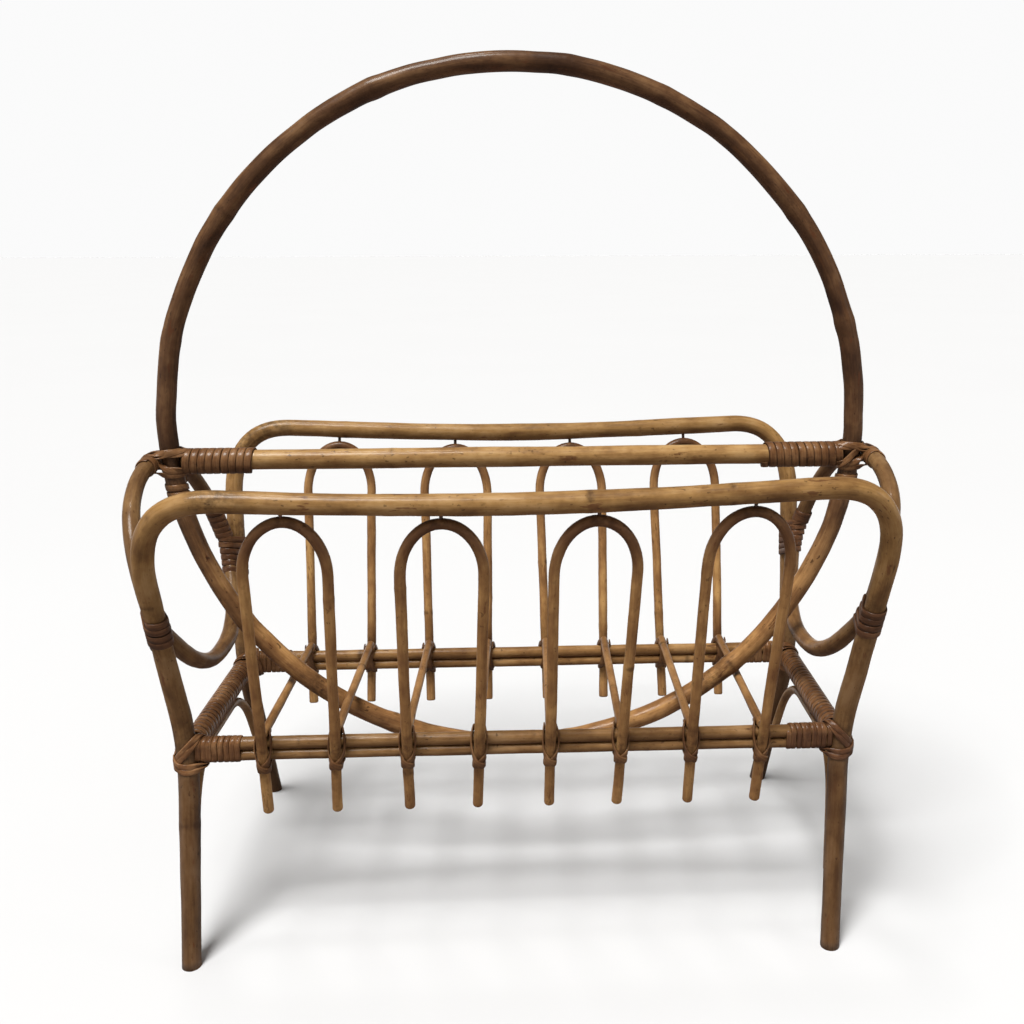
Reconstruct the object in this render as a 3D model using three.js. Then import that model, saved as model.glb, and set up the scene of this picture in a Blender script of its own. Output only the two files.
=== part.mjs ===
// Rattan magazine rack: a round hoop handle with a straight bar across it, two bent frames that stand
// on four splayed feet, a slatted floor, four bent arches on each long side, an oval ring at each
// end, and cane bindings over the joints.
// Millimetres, +Z up, floor at Z = 0, long side along X, front towards -Y.
import * as THREE from 'three';

// Rod diameters
const poleDiameter = 11.5;
const barDiameter = 11;
const sideRailDiameter = 11.5;
const upperRailDiameter = 7;
const lowerRailDiameter = 6;
const ringDiameter = 9.5;
const archDiameter = 6;
const floorBarDiameter = 5;
const braceDiameter = 5.5;

// Hoop and the bar across it
const hoopRadius = 204.8;
const barDrop = 21;
const hoopShift = 1.2;

// Bent frames, one at the front and its mirror image at the rear
const footInset = 8;
const footReach = 105;
const kneeInset = 11.5;
const kneeSetback = 3.5;
const kneeBend = 25;
const seamHeight = 110.5;
const cornerInset = 6.7;
const cornerReach = 116.6;
const cornerLift = 3.5;
const cornerRise = 54;
const cornerRun = 42;
const railDip = 8;
const dipRun = 90;
const frontRailTilt = 2;
const frontFootSway = -3.5;
const frontCornerSway = 3;
const rearFootSway = 2.5;
const rearKneeSway = 3.5;
const rearCornerSway = 1;
const rearCornerInset = 1.5;
const rearCornerDrop = 1;

// Lower rails, floor bars and side rails
const railReach = 69.5;
const sideRailDrop = 1.5;
const crossingInset = 18.5;

// Arches
const archWidth = 43.5;
const archTaper = 3.3;
const archCrown = 30;
const frontArchTail = 38.5;
const rearArchTail = 30;
const nailGap = 2.5;
const frontCrownSway = 1.5;
const frontRailSway = -2;
const rearCrownSway = 1;
const rearRailSway = 2;

// End rings
const ringRise = -1;
const ringFloorGap = 36;
const leftRingOutset = 4;
const rightRingOutset = 1.5;

// Braces under the side rails
const braceFootHeight = 34;
const braceSetback = 12;
const braceBend = 33;

// Cane strips
const caneWidth = 4;
const caneThickness = 1.2;
const canePitch = 4.7;
const sideCaneWidth = 5.8;
const sideCanePitch = 6.5;
const cornerCaneWidth = 3.3;
const cornerCanePitch = 3.9;
const crossingSpread = 5.3;
const junctionSpread = 10;
const windingInset = 1.5;

// Fits
const clearance = 0.3;
const bindingClearance = 0.35;
const crossingClearance = 1;

// Counts
const archCount = 4;
const barTurns = 9;
const cornerTurnsMost = 6;
const turnSteps = 8;
const arcSteps = 4;
const poleSides = 12;
const rodSides = 8;
const hoopSteps = 72;
const ringSteps = 44;

// Outline of an end ring: shares of its half width and of its height, from the crown to the foot
const ringHipShare = 0.615;
const ringOutlineShares = [[0, 0], [0.26, 0.015], [0.5, 0.06], [0.72, 0.14], [0.89, 0.27], [0.98, 0.43]];
const ringFootShares = [[0.8, 0.78], [0.585, 0.9], [0.3, 0.98], [0, 1]];

// Crossed lashings: shares of a turn, counted from the crossing, and shares of the sideways spread
const archTieTurnShares = [0, 0.06, 0.2, 0.34, 0.5, 0.66, 0.8, 0.94];
const archTieSpreadShares = [0, 1, 1, 1, 1, 1, 1, 1];
const hoopTieTurnShares = [0, 0.09, 0.19, 0.31, 0.44, 0.56, 0.69, 0.81, 0.91];
const hoopTieSpreadShares = [0, 0.5, 1, 1, 1, 1, 1, 1, 0.5];
const bandStepShare = 0.001;
const frontRingTieShare = 0.17;
const rearRingTieShare = 0.25;
const archPitchShare = 0.4313;

const poleRadius = poleDiameter / 2;
const barRadius = barDiameter / 2;
const sideRailRadius = sideRailDiameter / 2;
const upperRailRadius = upperRailDiameter / 2;
const lowerRailRadius = lowerRailDiameter / 2;
const ringRadius = ringDiameter / 2;
const archRadius = archDiameter / 2;
const floorBarRadius = floorBarDiameter / 2;
const braceRadius = braceDiameter / 2;

// Places that follow from the sizes above
const upperRailHeight = seamHeight + clearance / 2 + upperRailRadius;
const lowerRailHeight = seamHeight - clearance / 2 - lowerRailRadius;
const sideRailHeight = seamHeight - sideRailDrop;
const floorBarHeight = upperRailHeight + upperRailRadius + clearance + floorBarRadius;
const cornerHalfSpan = Math.sqrt(hoopRadius ** 2 - barDrop ** 2) - cornerInset;
const kneeHalfSpan = cornerHalfSpan - kneeInset;
const footHalfSpan = kneeHalfSpan - footInset;
const kneeReach = railReach - kneeSetback;
const archPitch = kneeHalfSpan * archPitchShare;
const archRailWidth = archWidth - archTaper;
const braceHalfSpan = kneeReach - braceSetback;
const outerLegSpan = archPitch * (archCount - 1) / 2 + archWidth / 2;
const hoopCrossing = outerLegSpan - crossingInset;
const hoopHeight = floorBarHeight + Math.sqrt(hoopRadius ** 2 - hoopCrossing ** 2);
const barHeight = hoopHeight - barDrop;
const cornerHeight = barHeight + cornerLift;
const ringCrownHeight = barHeight + ringRise;
const ringHeight = ringCrownHeight - sideRailHeight - ringFloorGap;
const ringHipDrop = ringHeight * ringHipShare;

const poleMaterial = new THREE.MeshStandardMaterial({ color: 0xa8824f, roughness: 0.4, metalness: 0 });
const rodMaterial = new THREE.MeshStandardMaterial({ color: 0xb08a58, roughness: 0.45, metalness: 0 });
const floorMaterial = new THREE.MeshStandardMaterial({ color: 0xb57f48, roughness: 0.5, metalness: 0 });
const caneMaterial = new THREE.MeshStandardMaterial({ color: 0x8f6a44, roughness: 0.4, metalness: 0 });

const rack = new THREE.Group();
rack.name = 'magazine_rack';
rack.position.x = -hoopShift;

function point(x, y, z) {
  return new THREE.Vector3(x, y, z);
}

function addMesh(name, geometry, material) {
  const mesh = new THREE.Mesh(geometry, material);
  mesh.name = name;
  rack.add(mesh);
  return mesh;
}

// A regular outline whose corners lie on the rod's round surface
function roundSection(radius, sides) {
  const corners = [];
  for (let i = 0; i < sides; i += 1) {
    const angle = 2 * Math.PI * i / sides;
    corners.push(new THREE.Vector2(radius * Math.cos(angle), radius * Math.sin(angle)));
  }
  return new THREE.Shape(corners);
}

// Centre line of a bent rod, with more stations in its bends than along its straight stretches
class BentLine extends THREE.Curve {
  constructor(pieces) {
    super();
    this.pieces = pieces;
    this.stations = pieces.reduce((sum, piece) => sum + piece.stations, 0);
  }

  pieceAt(share) {
    let station = share * this.stations;
    let index = 0;
    while (index < this.pieces.length - 1 && station > this.pieces[index].stations) {
      station -= this.pieces[index].stations;
      index += 1;
    }
    const piece = this.pieces[index];
    return { curve: piece.curve, share: Math.min(station / piece.stations, 1) };
  }

  getPoint(share) {
    const piece = this.pieceAt(share);
    return piece.curve.getPoint(piece.share);
  }

  getTangent(share) {
    const piece = this.pieceAt(share);
    return piece.curve.getTangent(piece.share);
  }

  getPointAt(share) {
    return this.getPoint(share);
  }

  getTangentAt(share) {
    return this.getTangent(share);
  }
}

// Straight stretches between the corners, each corner rounded off over its own run before and after
function bentLine(start, corners, end, bendStations) {
  const pieces = [];
  let from = start;
  corners.forEach((corner, i) => {
    const next = i + 1 < corners.length ? corners[i + 1].at : end;
    const enter = corner.at.clone().add(start.clone().subVectors(from, corner.at).setLength(corner.before));
    const leave = corner.at.clone().add(start.clone().subVectors(next, corner.at).setLength(corner.after));
    pieces.push({ curve: new THREE.LineCurve3(from, enter), stations: 1 });
    pieces.push({ curve: new THREE.QuadraticBezierCurve3(enter, corner.at, leave), stations: bendStations });
    from = leave;
  });
  pieces.push({ curve: new THREE.LineCurve3(from, end), stations: 1 });
  return new BentLine(pieces);
}

function rodGeometry(line, radius, sides) {
  const section = roundSection(radius, sides);
  return new THREE.ExtrudeGeometry(section, { extrudePath: line, steps: line.stations });
}

function straightRod(name, from, to, radius, sides, material) {
  const line = new BentLine([{ curve: new THREE.LineCurve3(from, to), stations: 1 }]);
  addMesh(name, rodGeometry(line, radius, sides), material);
}

// Where a centre line first reaches a height, counted from its start
function pointAtHeight(line, height) {
  const samples = line.stations * 40;
  let low = line.getPoint(0);
  for (let i = 1; i <= samples; i += 1) {
    const high = line.getPoint(i / samples);
    if (high.z >= height) {
      return low.clone().lerp(high, (height - low.z) / (high.z - low.z));
    }
    low = high;
  }
  return low;
}

// Half the width of the hoop at a height
function hoopSpan(height) {
  return Math.sqrt(hoopRadius ** 2 - (height - hoopHeight) ** 2);
}

function hoopSide(end, height) {
  return hoopShift + end * hoopSpan(height);
}

function addHoop() {
  const geometry = new THREE.TorusGeometry(hoopRadius, poleRadius, poleSides, hoopSteps);
  geometry.rotateX(Math.PI / 2);
  geometry.translate(hoopShift, 0, hoopHeight);
  addMesh('hoop', geometry, poleMaterial);
}

function barHalfLength() {
  return hoopSpan(barHeight - barRadius) - poleRadius - clearance;
}

function addCentreBar() {
  const half = barHalfLength();
  straightRod('centre_bar', point(hoopShift - half, 0, barHeight), point(hoopShift + half, 0, barHeight),
    barRadius, poleSides, poleMaterial);
}

// The two frames: side is -1 at the front and 1 at the rear, and each sway shifts a pair of points along X
const front = {
  side: -1,
  place: 'front',
  tilt: frontRailTilt,
  inset: 0,
  drop: 0,
  footSway: frontFootSway,
  kneeSway: 0,
  cornerSway: frontCornerSway,
  railSway: frontRailSway,
  crownSway: frontCrownSway,
  tail: frontArchTail,
  ringTurns: Math.floor(ringHeight * frontRingTieShare / canePitch),
};
const rear = {
  side: 1,
  place: 'rear',
  tilt: 0,
  inset: rearCornerInset,
  drop: rearCornerDrop,
  footSway: rearFootSway,
  kneeSway: rearKneeSway,
  cornerSway: rearCornerSway,
  railSway: rearRailSway,
  crownSway: rearCrownSway,
  tail: rearArchTail,
  ringTurns: Math.floor(ringHeight * rearRingTieShare / canePitch),
};

function cornerSpan(face) {
  return cornerHalfSpan - face.inset;
}

function frameCorner(face, end) {
  const x = end * cornerSpan(face) + face.cornerSway;
  return point(x, face.side * cornerReach, cornerHeight - face.drop + end * face.tilt);
}

// One pole from foot to foot
function frameLine(face) {
  const knee = (end) => point(end * kneeHalfSpan + face.kneeSway, face.side * kneeReach, seamHeight);
  const foot = (end) => point(end * footHalfSpan + face.footSway, face.side * footReach, 0);
  const middle = frameCorner(face, -1).lerp(frameCorner(face, 1), 1 / 2).sub(point(0, 0, railDip));
  const corners = [
    { at: knee(-1), before: kneeBend, after: kneeBend },
    { at: frameCorner(face, -1), before: cornerRise, after: cornerRun },
    { at: middle, before: dipRun, after: dipRun },
    { at: frameCorner(face, 1), before: cornerRun, after: cornerRise },
    { at: knee(1), before: kneeBend, after: kneeBend },
  ];
  return bentLine(foot(-1), corners, foot(1), 6);
}

// Slides the slanted end faces of a pole along the pole until they lie flat on the floor
function levelFeet(geometry, line) {
  const position = geometry.getAttribute('position');
  const left = line.getTangent(0);
  const right = line.getTangent(1);
  for (let i = 0; i < position.count; i += 1) {
    const vertex = new THREE.Vector3().fromBufferAttribute(position, i);
    if (vertex.z < poleRadius) {
      const leg = vertex.x < 0 ? left : right;
      vertex.addScaledVector(leg, -vertex.z / leg.z);
      position.setXYZ(i, vertex.x, vertex.y, 0);
    }
  }
}

function addFrame(name, line) {
  const geometry = rodGeometry(line, poleRadius, poleSides);
  levelFeet(geometry, line);
  addMesh(name, geometry, poleMaterial);
}

front.line = frameLine(front);
rear.line = frameLine(rear);
const faces = [front, rear];

// The place of a frame's leg at a height; end is -1 at the left and 1 at the right
function legAt(face, end, height) {
  const left = pointAtHeight(face.line, height);
  if (end < 0) {
    return left;
  }
  const backwards = (share) => face.line.getPoint(1 - share);
  return pointAtHeight({ stations: face.line.stations, getPoint: backwards }, height);
}

// Height of a top rail's centre line above a place along it
function topRailHeight(face, x) {
  const along = x - face.cornerSway;
  const span = cornerSpan(face);
  const dip = (reach) => railDip * (1 - reach / span);
  const level = cornerHeight - face.drop + face.tilt * along / span;
  if (Math.abs(along) > dipRun) {
    return level - dip(Math.abs(along));
  }
  return level - railDip + (railDip - dip(dipRun)) * (1 + (along / dipRun) ** 2) / 2;
}

// How far along X a rod reaches that ends against a frame's leg at a height
function endAgainstLeg(face, end, height, radius) {
  return legAt(face, end, height - radius).x - end * (poleRadius + clearance);
}

function addLowerRail(face, name, height, radius) {
  const y = face.side * railReach;
  const from = point(endAgainstLeg(face, -1, height, radius), y, height);
  const to = point(endAgainstLeg(face, 1, height, radius), y, height);
  straightRod(name, from, to, radius, rodSides, poleMaterial);
}

function addLowerRails(face) {
  addLowerRail(face, `${face.place}_upper_rail`, upperRailHeight, upperRailRadius);
  addLowerRail(face, `${face.place}_lower_rail`, lowerRailHeight, lowerRailRadius);
}

// Where a side rail's centre line ends, short of the leg
function sideRailEnd(face, end) {
  const leg = legAt(face, end, sideRailHeight);
  const knee = legAt(face, end, seamHeight);
  return point(leg.x, knee.y - face.side * (poleRadius + clearance), sideRailHeight);
}

function addSideRail(end, place) {
  straightRod(`${place}_side_rail`, sideRailEnd(front, end), sideRailEnd(rear, end),
    sideRailRadius, poleSides, poleMaterial);
}

// Arch legs pass in front of the rails, and the crown sits just under the top rail
const frameLean = Math.atan((cornerReach - kneeReach) / (cornerHeight - seamHeight));

function legReachAtSeam(railHeight, railRadius) {
  const apart = (railRadius + archRadius + bindingClearance) / Math.cos(frameLean);
  return railReach + apart - (railHeight - seamHeight) * Math.tan(frameLean);
}

const archRailReach = Math.max(
  legReachAtSeam(upperRailHeight, upperRailRadius),
  legReachAtSeam(lowerRailHeight, lowerRailRadius),
);
function archCentre(index) {
  return archPitch * (index - (archCount - 1) / 2);
}

function archCrownPoint(face, index) {
  const x = archCentre(index) + face.crownSway;
  const drop = poleRadius + nailGap + archRadius;
  const reach = cornerReach - drop * Math.sin(frameLean);
  return point(x, face.side * reach, topRailHeight(face, x) - drop * Math.cos(frameLean));
}

// A point of an arch's own leaning plane, so far to the side of its middle line
function archPoint(face, index, aside, height) {
  const crown = archCrownPoint(face, index);
  const share = (height - seamHeight) / (crown.z - seamHeight);
  const reach = archRailReach + (Math.abs(crown.y) - archRailReach) * share;
  const middle = archCentre(index) + face.railSway + (face.crownSway - face.railSway) * share;
  return point(middle + aside, face.side * reach, height);
}

// Half an arch's width at a height of its straight legs
function archHalfWidth(shoulder, height) {
  const share = (height - seamHeight) / (shoulder - seamHeight);
  return (archRailWidth + (archWidth - archRailWidth) * share) / 2;
}

function archLine(face, index) {
  const shoulder = archCrownPoint(face, index).z - archCrown;
  const low = seamHeight - face.tail;
  const legEnd = (end) => archPoint(face, index, end * archHalfWidth(shoulder, low), low);
  const legTop = (end) => archPoint(face, index, end * archWidth / 2, shoulder);
  const bow = [];
  const quarterSteps = 6;
  for (let i = 0; i <= 2 * quarterSteps; i += 1) {
    const angle = Math.PI * i / (2 * quarterSteps);
    const aside = -Math.cos(angle) * archWidth / 2;
    bow.push(archPoint(face, index, aside, shoulder + archCrown * Math.sin(angle)));
  }
  return new BentLine([
    { curve: new THREE.LineCurve3(legEnd(-1), legTop(-1)), stations: 1 },
    { curve: new THREE.CatmullRomCurve3(bow), stations: 2 * quarterSteps },
    { curve: new THREE.LineCurve3(legTop(1), legEnd(1)), stations: 1 },
  ]);
}

function addArches(face) {
  for (let i = 0; i < archCount; i += 1) {
    const line = archLine(face, i);
    addMesh(`${face.place}_arch_${i + 1}`, rodGeometry(line, archRadius, rodSides), rodMaterial);
  }
}

// The places along X where the arch legs of one side cross its lower rails
function legPlaces(face) {
  const places = [];
  for (let i = 0; i < archCount; i += 1) {
    places.push(archCentre(i) + face.railSway - archRailWidth / 2);
    places.push(archCentre(i) + face.railSway + archRailWidth / 2);
  }
  return places;
}

function addFloorBars() {
  const reach = archRailReach - archRadius - clearance;
  const rearPlaces = legPlaces(rear);
  legPlaces(front).forEach((x, i) => {
    straightRod(`floor_bar_${i + 1}`, point(x, -reach, floorBarHeight),
      point(rearPlaces[i], reach, floorBarHeight), floorBarRadius, rodSides, floorMaterial);
  });
}

// End ring: an oval that passes outside the hoop at its crown and lies against both poles at its hips
function ringLine(end) {
  const hipHeight = ringCrownHeight - ringHipDrop;
  const hips = faces.map((face) => legAt(face, end, hipHeight));
  const reachToPole = poleRadius + ringRadius + bindingClearance;
  const outset = end < 0 ? leftRingOutset : rightRingOutset;
  const hipReach = hips[1].y - Math.sqrt(reachToPole ** 2 - outset ** 2) / Math.cos(frameLean);
  const crownSide = hoopSide(end, ringCrownHeight) + end * (poleRadius + ringRadius + 3 * clearance);
  const side = (reach, height) => {
    const pole = hips[0].x + (hips[1].x - hips[0].x) * (reach / hipReach + 1) / 2;
    const hipSide = pole + end * outset;
    return hipSide + (crownSide - hipSide) * (height - hipHeight) / ringHipDrop;
  };
  const half = ringOutlineShares.map(([out, down]) => [hipReach * out, ringHeight * down]);
  half.push([hipReach, ringHipDrop]);
  ringFootShares.forEach(([out, down]) => half.push([hipReach * out, ringHeight * down]));
  const mirrored = half.slice(1, -1).reverse().map(([reach, drop]) => [-reach, drop]);
  const outline = half.concat(mirrored).map(([reach, drop]) => {
    const height = ringCrownHeight - drop;
    return point(side(reach, height), reach, height);
  });
  return new THREE.CatmullRomCurve3(outline, true, 'centripetal');
}

function addRing(end, place) {
  const geometry = new THREE.TubeGeometry(ringLine(end), ringSteps, ringRadius, rodSides, true);
  addMesh(`${place}_end_ring`, geometry, rodMaterial);
}

// Brace: a low arch from leg to leg that bears up against the wound side rail
function braceFoot(face, end) {
  const leg = legAt(face, end, braceFootHeight);
  const lean = Math.atan((footReach - kneeReach) / seamHeight);
  const apart = (poleRadius + braceRadius + clearance) / Math.cos(lean);
  return point(leg.x, leg.y - face.side * apart, braceFootHeight);
}

function addBrace(end, place) {
  const wound = sideRailRadius + 2 * bindingClearance + caneThickness * 2;
  const top = sideRailHeight - wound - braceRadius;
  const corners = faces.map((face) => {
    const share = braceHalfSpan / Math.abs(sideRailEnd(face, end).y);
    const middle = sideRailEnd(front, end).lerp(sideRailEnd(rear, end), 1 / 2);
    const place = middle.lerp(sideRailEnd(face, end), share);
    return { at: point(place.x, place.y, top), before: braceBend, after: braceBend };
  });
  const line = bentLine(braceFoot(front, end), corners, braceFoot(rear, end), 5);
  addMesh(`${place}_leg_brace`, rodGeometry(line, braceRadius, rodSides), rodMaterial);
}

// Cane strips
// A station holds a place on the strip's centre line and the way its broad face looks.
function stripFrames(stations, closed) {
  const last = stations.length - 1;
  return stations.map(({ at, out }, i) => {
    const before = closed ? stations[(i + last) % (last + 1)].at : stations[Math.max(i - 1, 0)].at;
    const after = closed ? stations[(i + 1) % (last + 1)].at : stations[Math.min(i + 1, last)].at;
    const along = after.clone().sub(before).normalize();
    const across = along.clone().cross(out).normalize();
    const face = across.clone().cross(along).normalize();
    return { at, across, face };
  });
}

function stripCorners({ at, across, face }, width, thickness) {
  const corner = (a, b) => at.clone().addScaledVector(across, a * width / 2)
    .addScaledVector(face, b * thickness / 2);
  return [corner(-1, -1), corner(1, -1), corner(1, 1), corner(-1, 1)];
}

function stripGeometry(stations, width, thickness, closed) {
  const frames = stripFrames(stations, closed);
  const positions = [];
  frames.forEach((frame) => stripCorners(frame, width, thickness)
    .forEach((corner) => positions.push(corner.x, corner.y, corner.z)));
  const faces = [];
  const rings = closed ? frames.length : frames.length - 1;
  for (let i = 0; i < rings; i += 1) {
    const here = i * 4;
    const there = ((i + 1) % frames.length) * 4;
    for (let k = 0; k < 4; k += 1) {
      const n = (k + 1) % 4;
      faces.push(here + k, there + k, there + n);
      faces.push(here + k, there + n, here + n);
    }
  }
  if (!closed) {
    const end = (frames.length - 1) * 4;
    faces.push(0, 1, 2, 0, 2, 3);
    faces.push(end, end + 2, end + 1, end, end + 3, end + 2);
  }
  const geometry = new THREE.BufferGeometry();
  geometry.setAttribute('position', new THREE.Float32BufferAttribute(positions, 3));
  geometry.setIndex(faces);
  return geometry;
}

// Points on the surface of a strip, for measuring how near it comes to itself
function surfacePoints(stations, width, thickness, closed) {
  const dense = [];
  const parts = 4;
  const spans = closed ? stations.length : stations.length - 1;
  for (let i = 0; i < spans; i += 1) {
    const a = stations[i];
    const b = stations[(i + 1) % stations.length];
    for (let k = 0; k < parts; k += 1) {
      const share = k / parts;
      dense.push({ at: a.at.clone().lerp(b.at, share), out: a.out.clone().lerp(b.out, share).normalize() });
    }
  }
  return stripFrames(dense, closed).map((frame) => {
    const corners = stripCorners(frame, width, thickness);
    const inner = corners[0].clone().add(corners[1]).multiplyScalar(1 / 2);
    const outer = corners[2].clone().add(corners[3]).multiplyScalar(1 / 2);
    return [...corners, inner, outer];
  });
}

function leastSelfGap(stations, width, thickness, closed, steps) {
  const rows = surfacePoints(stations, width, thickness, closed);
  const skip = steps * 2;
  let least = Infinity;
  for (let i = 0; i < rows.length; i += 1) {
    const end = closed ? Math.min(rows.length, i + rows.length - skip) : rows.length;
    for (let j = i + skip; j < end; j += 1) {
      rows[i].forEach((p) => rows[j].forEach((q) => {
        least = Math.min(least, p.distanceTo(q));
      }));
    }
  }
  return least;
}

function addStrip(name, stations, width, closed, steps) {
  const gap = leastSelfGap(stations, width, caneThickness, closed, steps);
  console.log(`${name}: least gap to itself ${gap.toFixed(2)} mm`);
  addMesh(name, stripGeometry(stations, width, caneThickness, closed), caneMaterial);
}

// The support of a set of rods, cut square across, in one direction
function bandSupport(rods, angle, lift) {
  const out = new THREE.Vector2(Math.cos(angle), Math.sin(angle));
  let best = null;
  rods.forEach((rod) => {
    const reach = rod.at.dot(out) + rod.radius;
    if (best === null || reach > best.reach) {
      best = { reach, rod };
    }
  });
  return best.rod.at.clone().addScaledVector(out, best.rod.radius + lift);
}

// A place on a tight band round the rods; where the band runs straight, the middle of that stretch
function bandPoint(rods, angle, lift) {
  const before = bandSupport(rods, angle - bandStepShare, lift);
  const after = bandSupport(rods, angle + bandStepShare, lift);
  const out = new THREE.Vector2(Math.cos(angle), Math.sin(angle));
  return { place: before.lerp(after, 1 / 2), out };
}

// Chords between the steps of a turn must clear the rod, so the band stands off a little more
function chordLift(radius, steps) {
  const bare = radius + bindingClearance + caneThickness / 2;
  return (bare / Math.cos(Math.PI / steps)) - radius;
}

// A helical winding along an axis, round rods given in the axis's own cross plane
function windingStations(axis, rods, start, pitch, turns, phase) {
  const stations = [];
  for (let i = 0; i <= turns * turnSteps; i += 1) {
    const angle = phase + 2 * Math.PI * i / turnSteps;
    const lift = Math.max(...rods.map((rod) => chordLift(rod.radius, turnSteps)));
    const { place, out } = bandPoint(rods, angle, lift);
    const along = start + pitch * i / turnSteps;
    const at = axis.origin.clone().addScaledVector(axis.along, along)
      .addScaledVector(axis.u, place.x).addScaledVector(axis.v, place.y);
    const face = axis.u.clone().multiplyScalar(out.x).addScaledVector(axis.v, out.y);
    stations.push({ at, out: face });
  }
  return stations;
}

function windingLength(turns, pitch, width) {
  return turns * pitch + width;
}

function localRod(axis, centre, radius) {
  const offset = centre.clone().sub(axis.origin);
  return { at: new THREE.Vector2(offset.dot(axis.u), offset.dot(axis.v)), radius };
}

function axisAt(origin, along, u) {
  const v = along.clone().cross(u).normalize();
  return { origin, along, u, v };
}

function addBarWinding(end, place) {
  const axis = axisAt(point(hoopShift, 0, barHeight), point(end, 0, 0), point(0, 0, 1));
  const rods = [{ at: new THREE.Vector2(0, 0), radius: barRadius }];
  const finish = barHalfLength() - windingInset;
  const start = finish - windingLength(barTurns, canePitch, caneWidth) + caneWidth / 2;
  addStrip(`${place}_bar_winding`, windingStations(axis, rods, start, canePitch, barTurns, 0),
    caneWidth, false, turnSteps);
}

function addCornerWinding(face, end, name) {
  const axis = axisAt(point(0, face.side * railReach, seamHeight), point(end, 0, 0), point(0, 0, 1));
  const rods = [
    localRod(axis, point(0, face.side * railReach, upperRailHeight), upperRailRadius),
    localRod(axis, point(0, face.side * railReach, lowerRailHeight), lowerRailRadius),
  ];
  const lastLeg = Math.max(...legPlaces(face).map((x) => end * x));
  const outermost = lastLeg + crossingSpread + caneWidth / 2 + bindingClearance;
  const finish = end * endAgainstLeg(face, end, lowerRailHeight, lowerRailRadius) - windingInset;
  const room = finish - outermost - cornerCaneWidth;
  const turns = Math.min(cornerTurnsMost, Math.floor(room / cornerCanePitch));
  const start = finish - windingLength(turns, cornerCanePitch, cornerCaneWidth) + cornerCaneWidth / 2;
  const stations = windingStations(axis, rods, start, cornerCanePitch, turns, Math.PI / turnSteps);
  addStrip(name, stations, cornerCaneWidth, false, turnSteps);
}

function addSideWinding(end, place) {
  const from = sideRailEnd(front, end);
  const to = sideRailEnd(rear, end);
  const axis = axisAt(from.clone().lerp(to, 1 / 2), to.clone().sub(from).normalize(), point(0, 0, 1));
  const rods = [{ at: new THREE.Vector2(0, 0), radius: sideRailRadius }];
  const room = from.distanceTo(to) - 2 * windingInset - sideCaneWidth;
  const turns = Math.floor(room / sideCanePitch);
  const start = -turns * sideCanePitch / 2;
  addStrip(`${place}_side_winding`, windingStations(axis, rods, start, sideCanePitch, turns, Math.PI),
    sideCaneWidth, false, turnSteps);
}

// An end ring's centre line beside a pole, each place with its height along the pole
function ringBesidePole(face, end, axis) {
  const spots = ringLine(end).getPoints(ringSteps * turnSteps).filter((spot) => spot.y * face.side > 0);
  const rows = spots.map((spot) => {
    const high = spot.clone().sub(axis.origin).dot(axis.along);
    return { high, at: localRod(axis, spot, ringRadius).at };
  });
  return rows.sort((a, b) => a.high - b.high);
}

function placeBeside(rows, high) {
  const next = Math.max(rows.findIndex((row) => row.high > high), 1);
  const low = rows[next - 1];
  const share = (high - low.high) / (rows[next].high - low.high);
  return low.at.clone().lerp(rows[next].at, share);
}

// One place of a tight band round a pole and the ring beside it: an arc on each, tangents between
function bandAroundTwo(rows, high, step) {
  const ring = placeBeside(rows, high);
  const toRing = Math.atan2(ring.y, ring.x);
  const opening = Math.acos((poleRadius - ringRadius) / ring.length());
  const onPole = step <= arcSteps;
  const arc = onPole ? 2 * (Math.PI - opening) : 2 * opening;
  const from = onPole ? toRing + opening : toRing - opening;
  const angle = from + arc * (onPole ? step : step - arcSteps - 1) / arcSteps;
  const out = new THREE.Vector2(Math.cos(angle), Math.sin(angle));
  const radius = onPole ? poleRadius : ringRadius;
  const lift = chordLift(radius, 2 * Math.PI * arcSteps / arc);
  if (onPole) {
    return { place: out.clone().multiplyScalar(radius + lift), out };
  }
  const near = [-1, 1].map((way) => placeBeside(rows, high + way * caneWidth / 2));
  const slant = Math.max(...near.map((spot) => spot.sub(ring).dot(out)), 0);
  return { place: ring.addScaledVector(out, radius + slant + lift + 2 * clearance), out };
}

// Binding of an end ring to a pole at the ring's hip
function addRingTie(face, end, name) {
  const hipHeight = ringCrownHeight - ringHipDrop;
  const half = face.ringTurns * canePitch / 2;
  const base = legAt(face, end, hipHeight);
  const along = legAt(face, end, hipHeight + half).sub(legAt(face, end, hipHeight - half)).normalize();
  const u = point(end, 0, 0).addScaledVector(along, -along.x * end).normalize();
  const axis = axisAt(base, along, u);
  const rows = ringBesidePole(face, end, axis);
  const steps = 2 * (arcSteps + 1);
  const stations = [];
  for (let i = 0; i <= face.ringTurns * steps; i += 1) {
    const high = canePitch * i / steps - half;
    const { place, out } = bandAroundTwo(rows, high, i % steps);
    const at = base.clone().addScaledVector(along, high).addScaledVector(axis.u, place.x)
      .addScaledVector(axis.v, place.y);
    stations.push({ at, out: axis.u.clone().multiplyScalar(out.x).addScaledVector(axis.v, out.y) });
  }
  addStrip(name, stations, caneWidth, false, steps);
}

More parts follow.
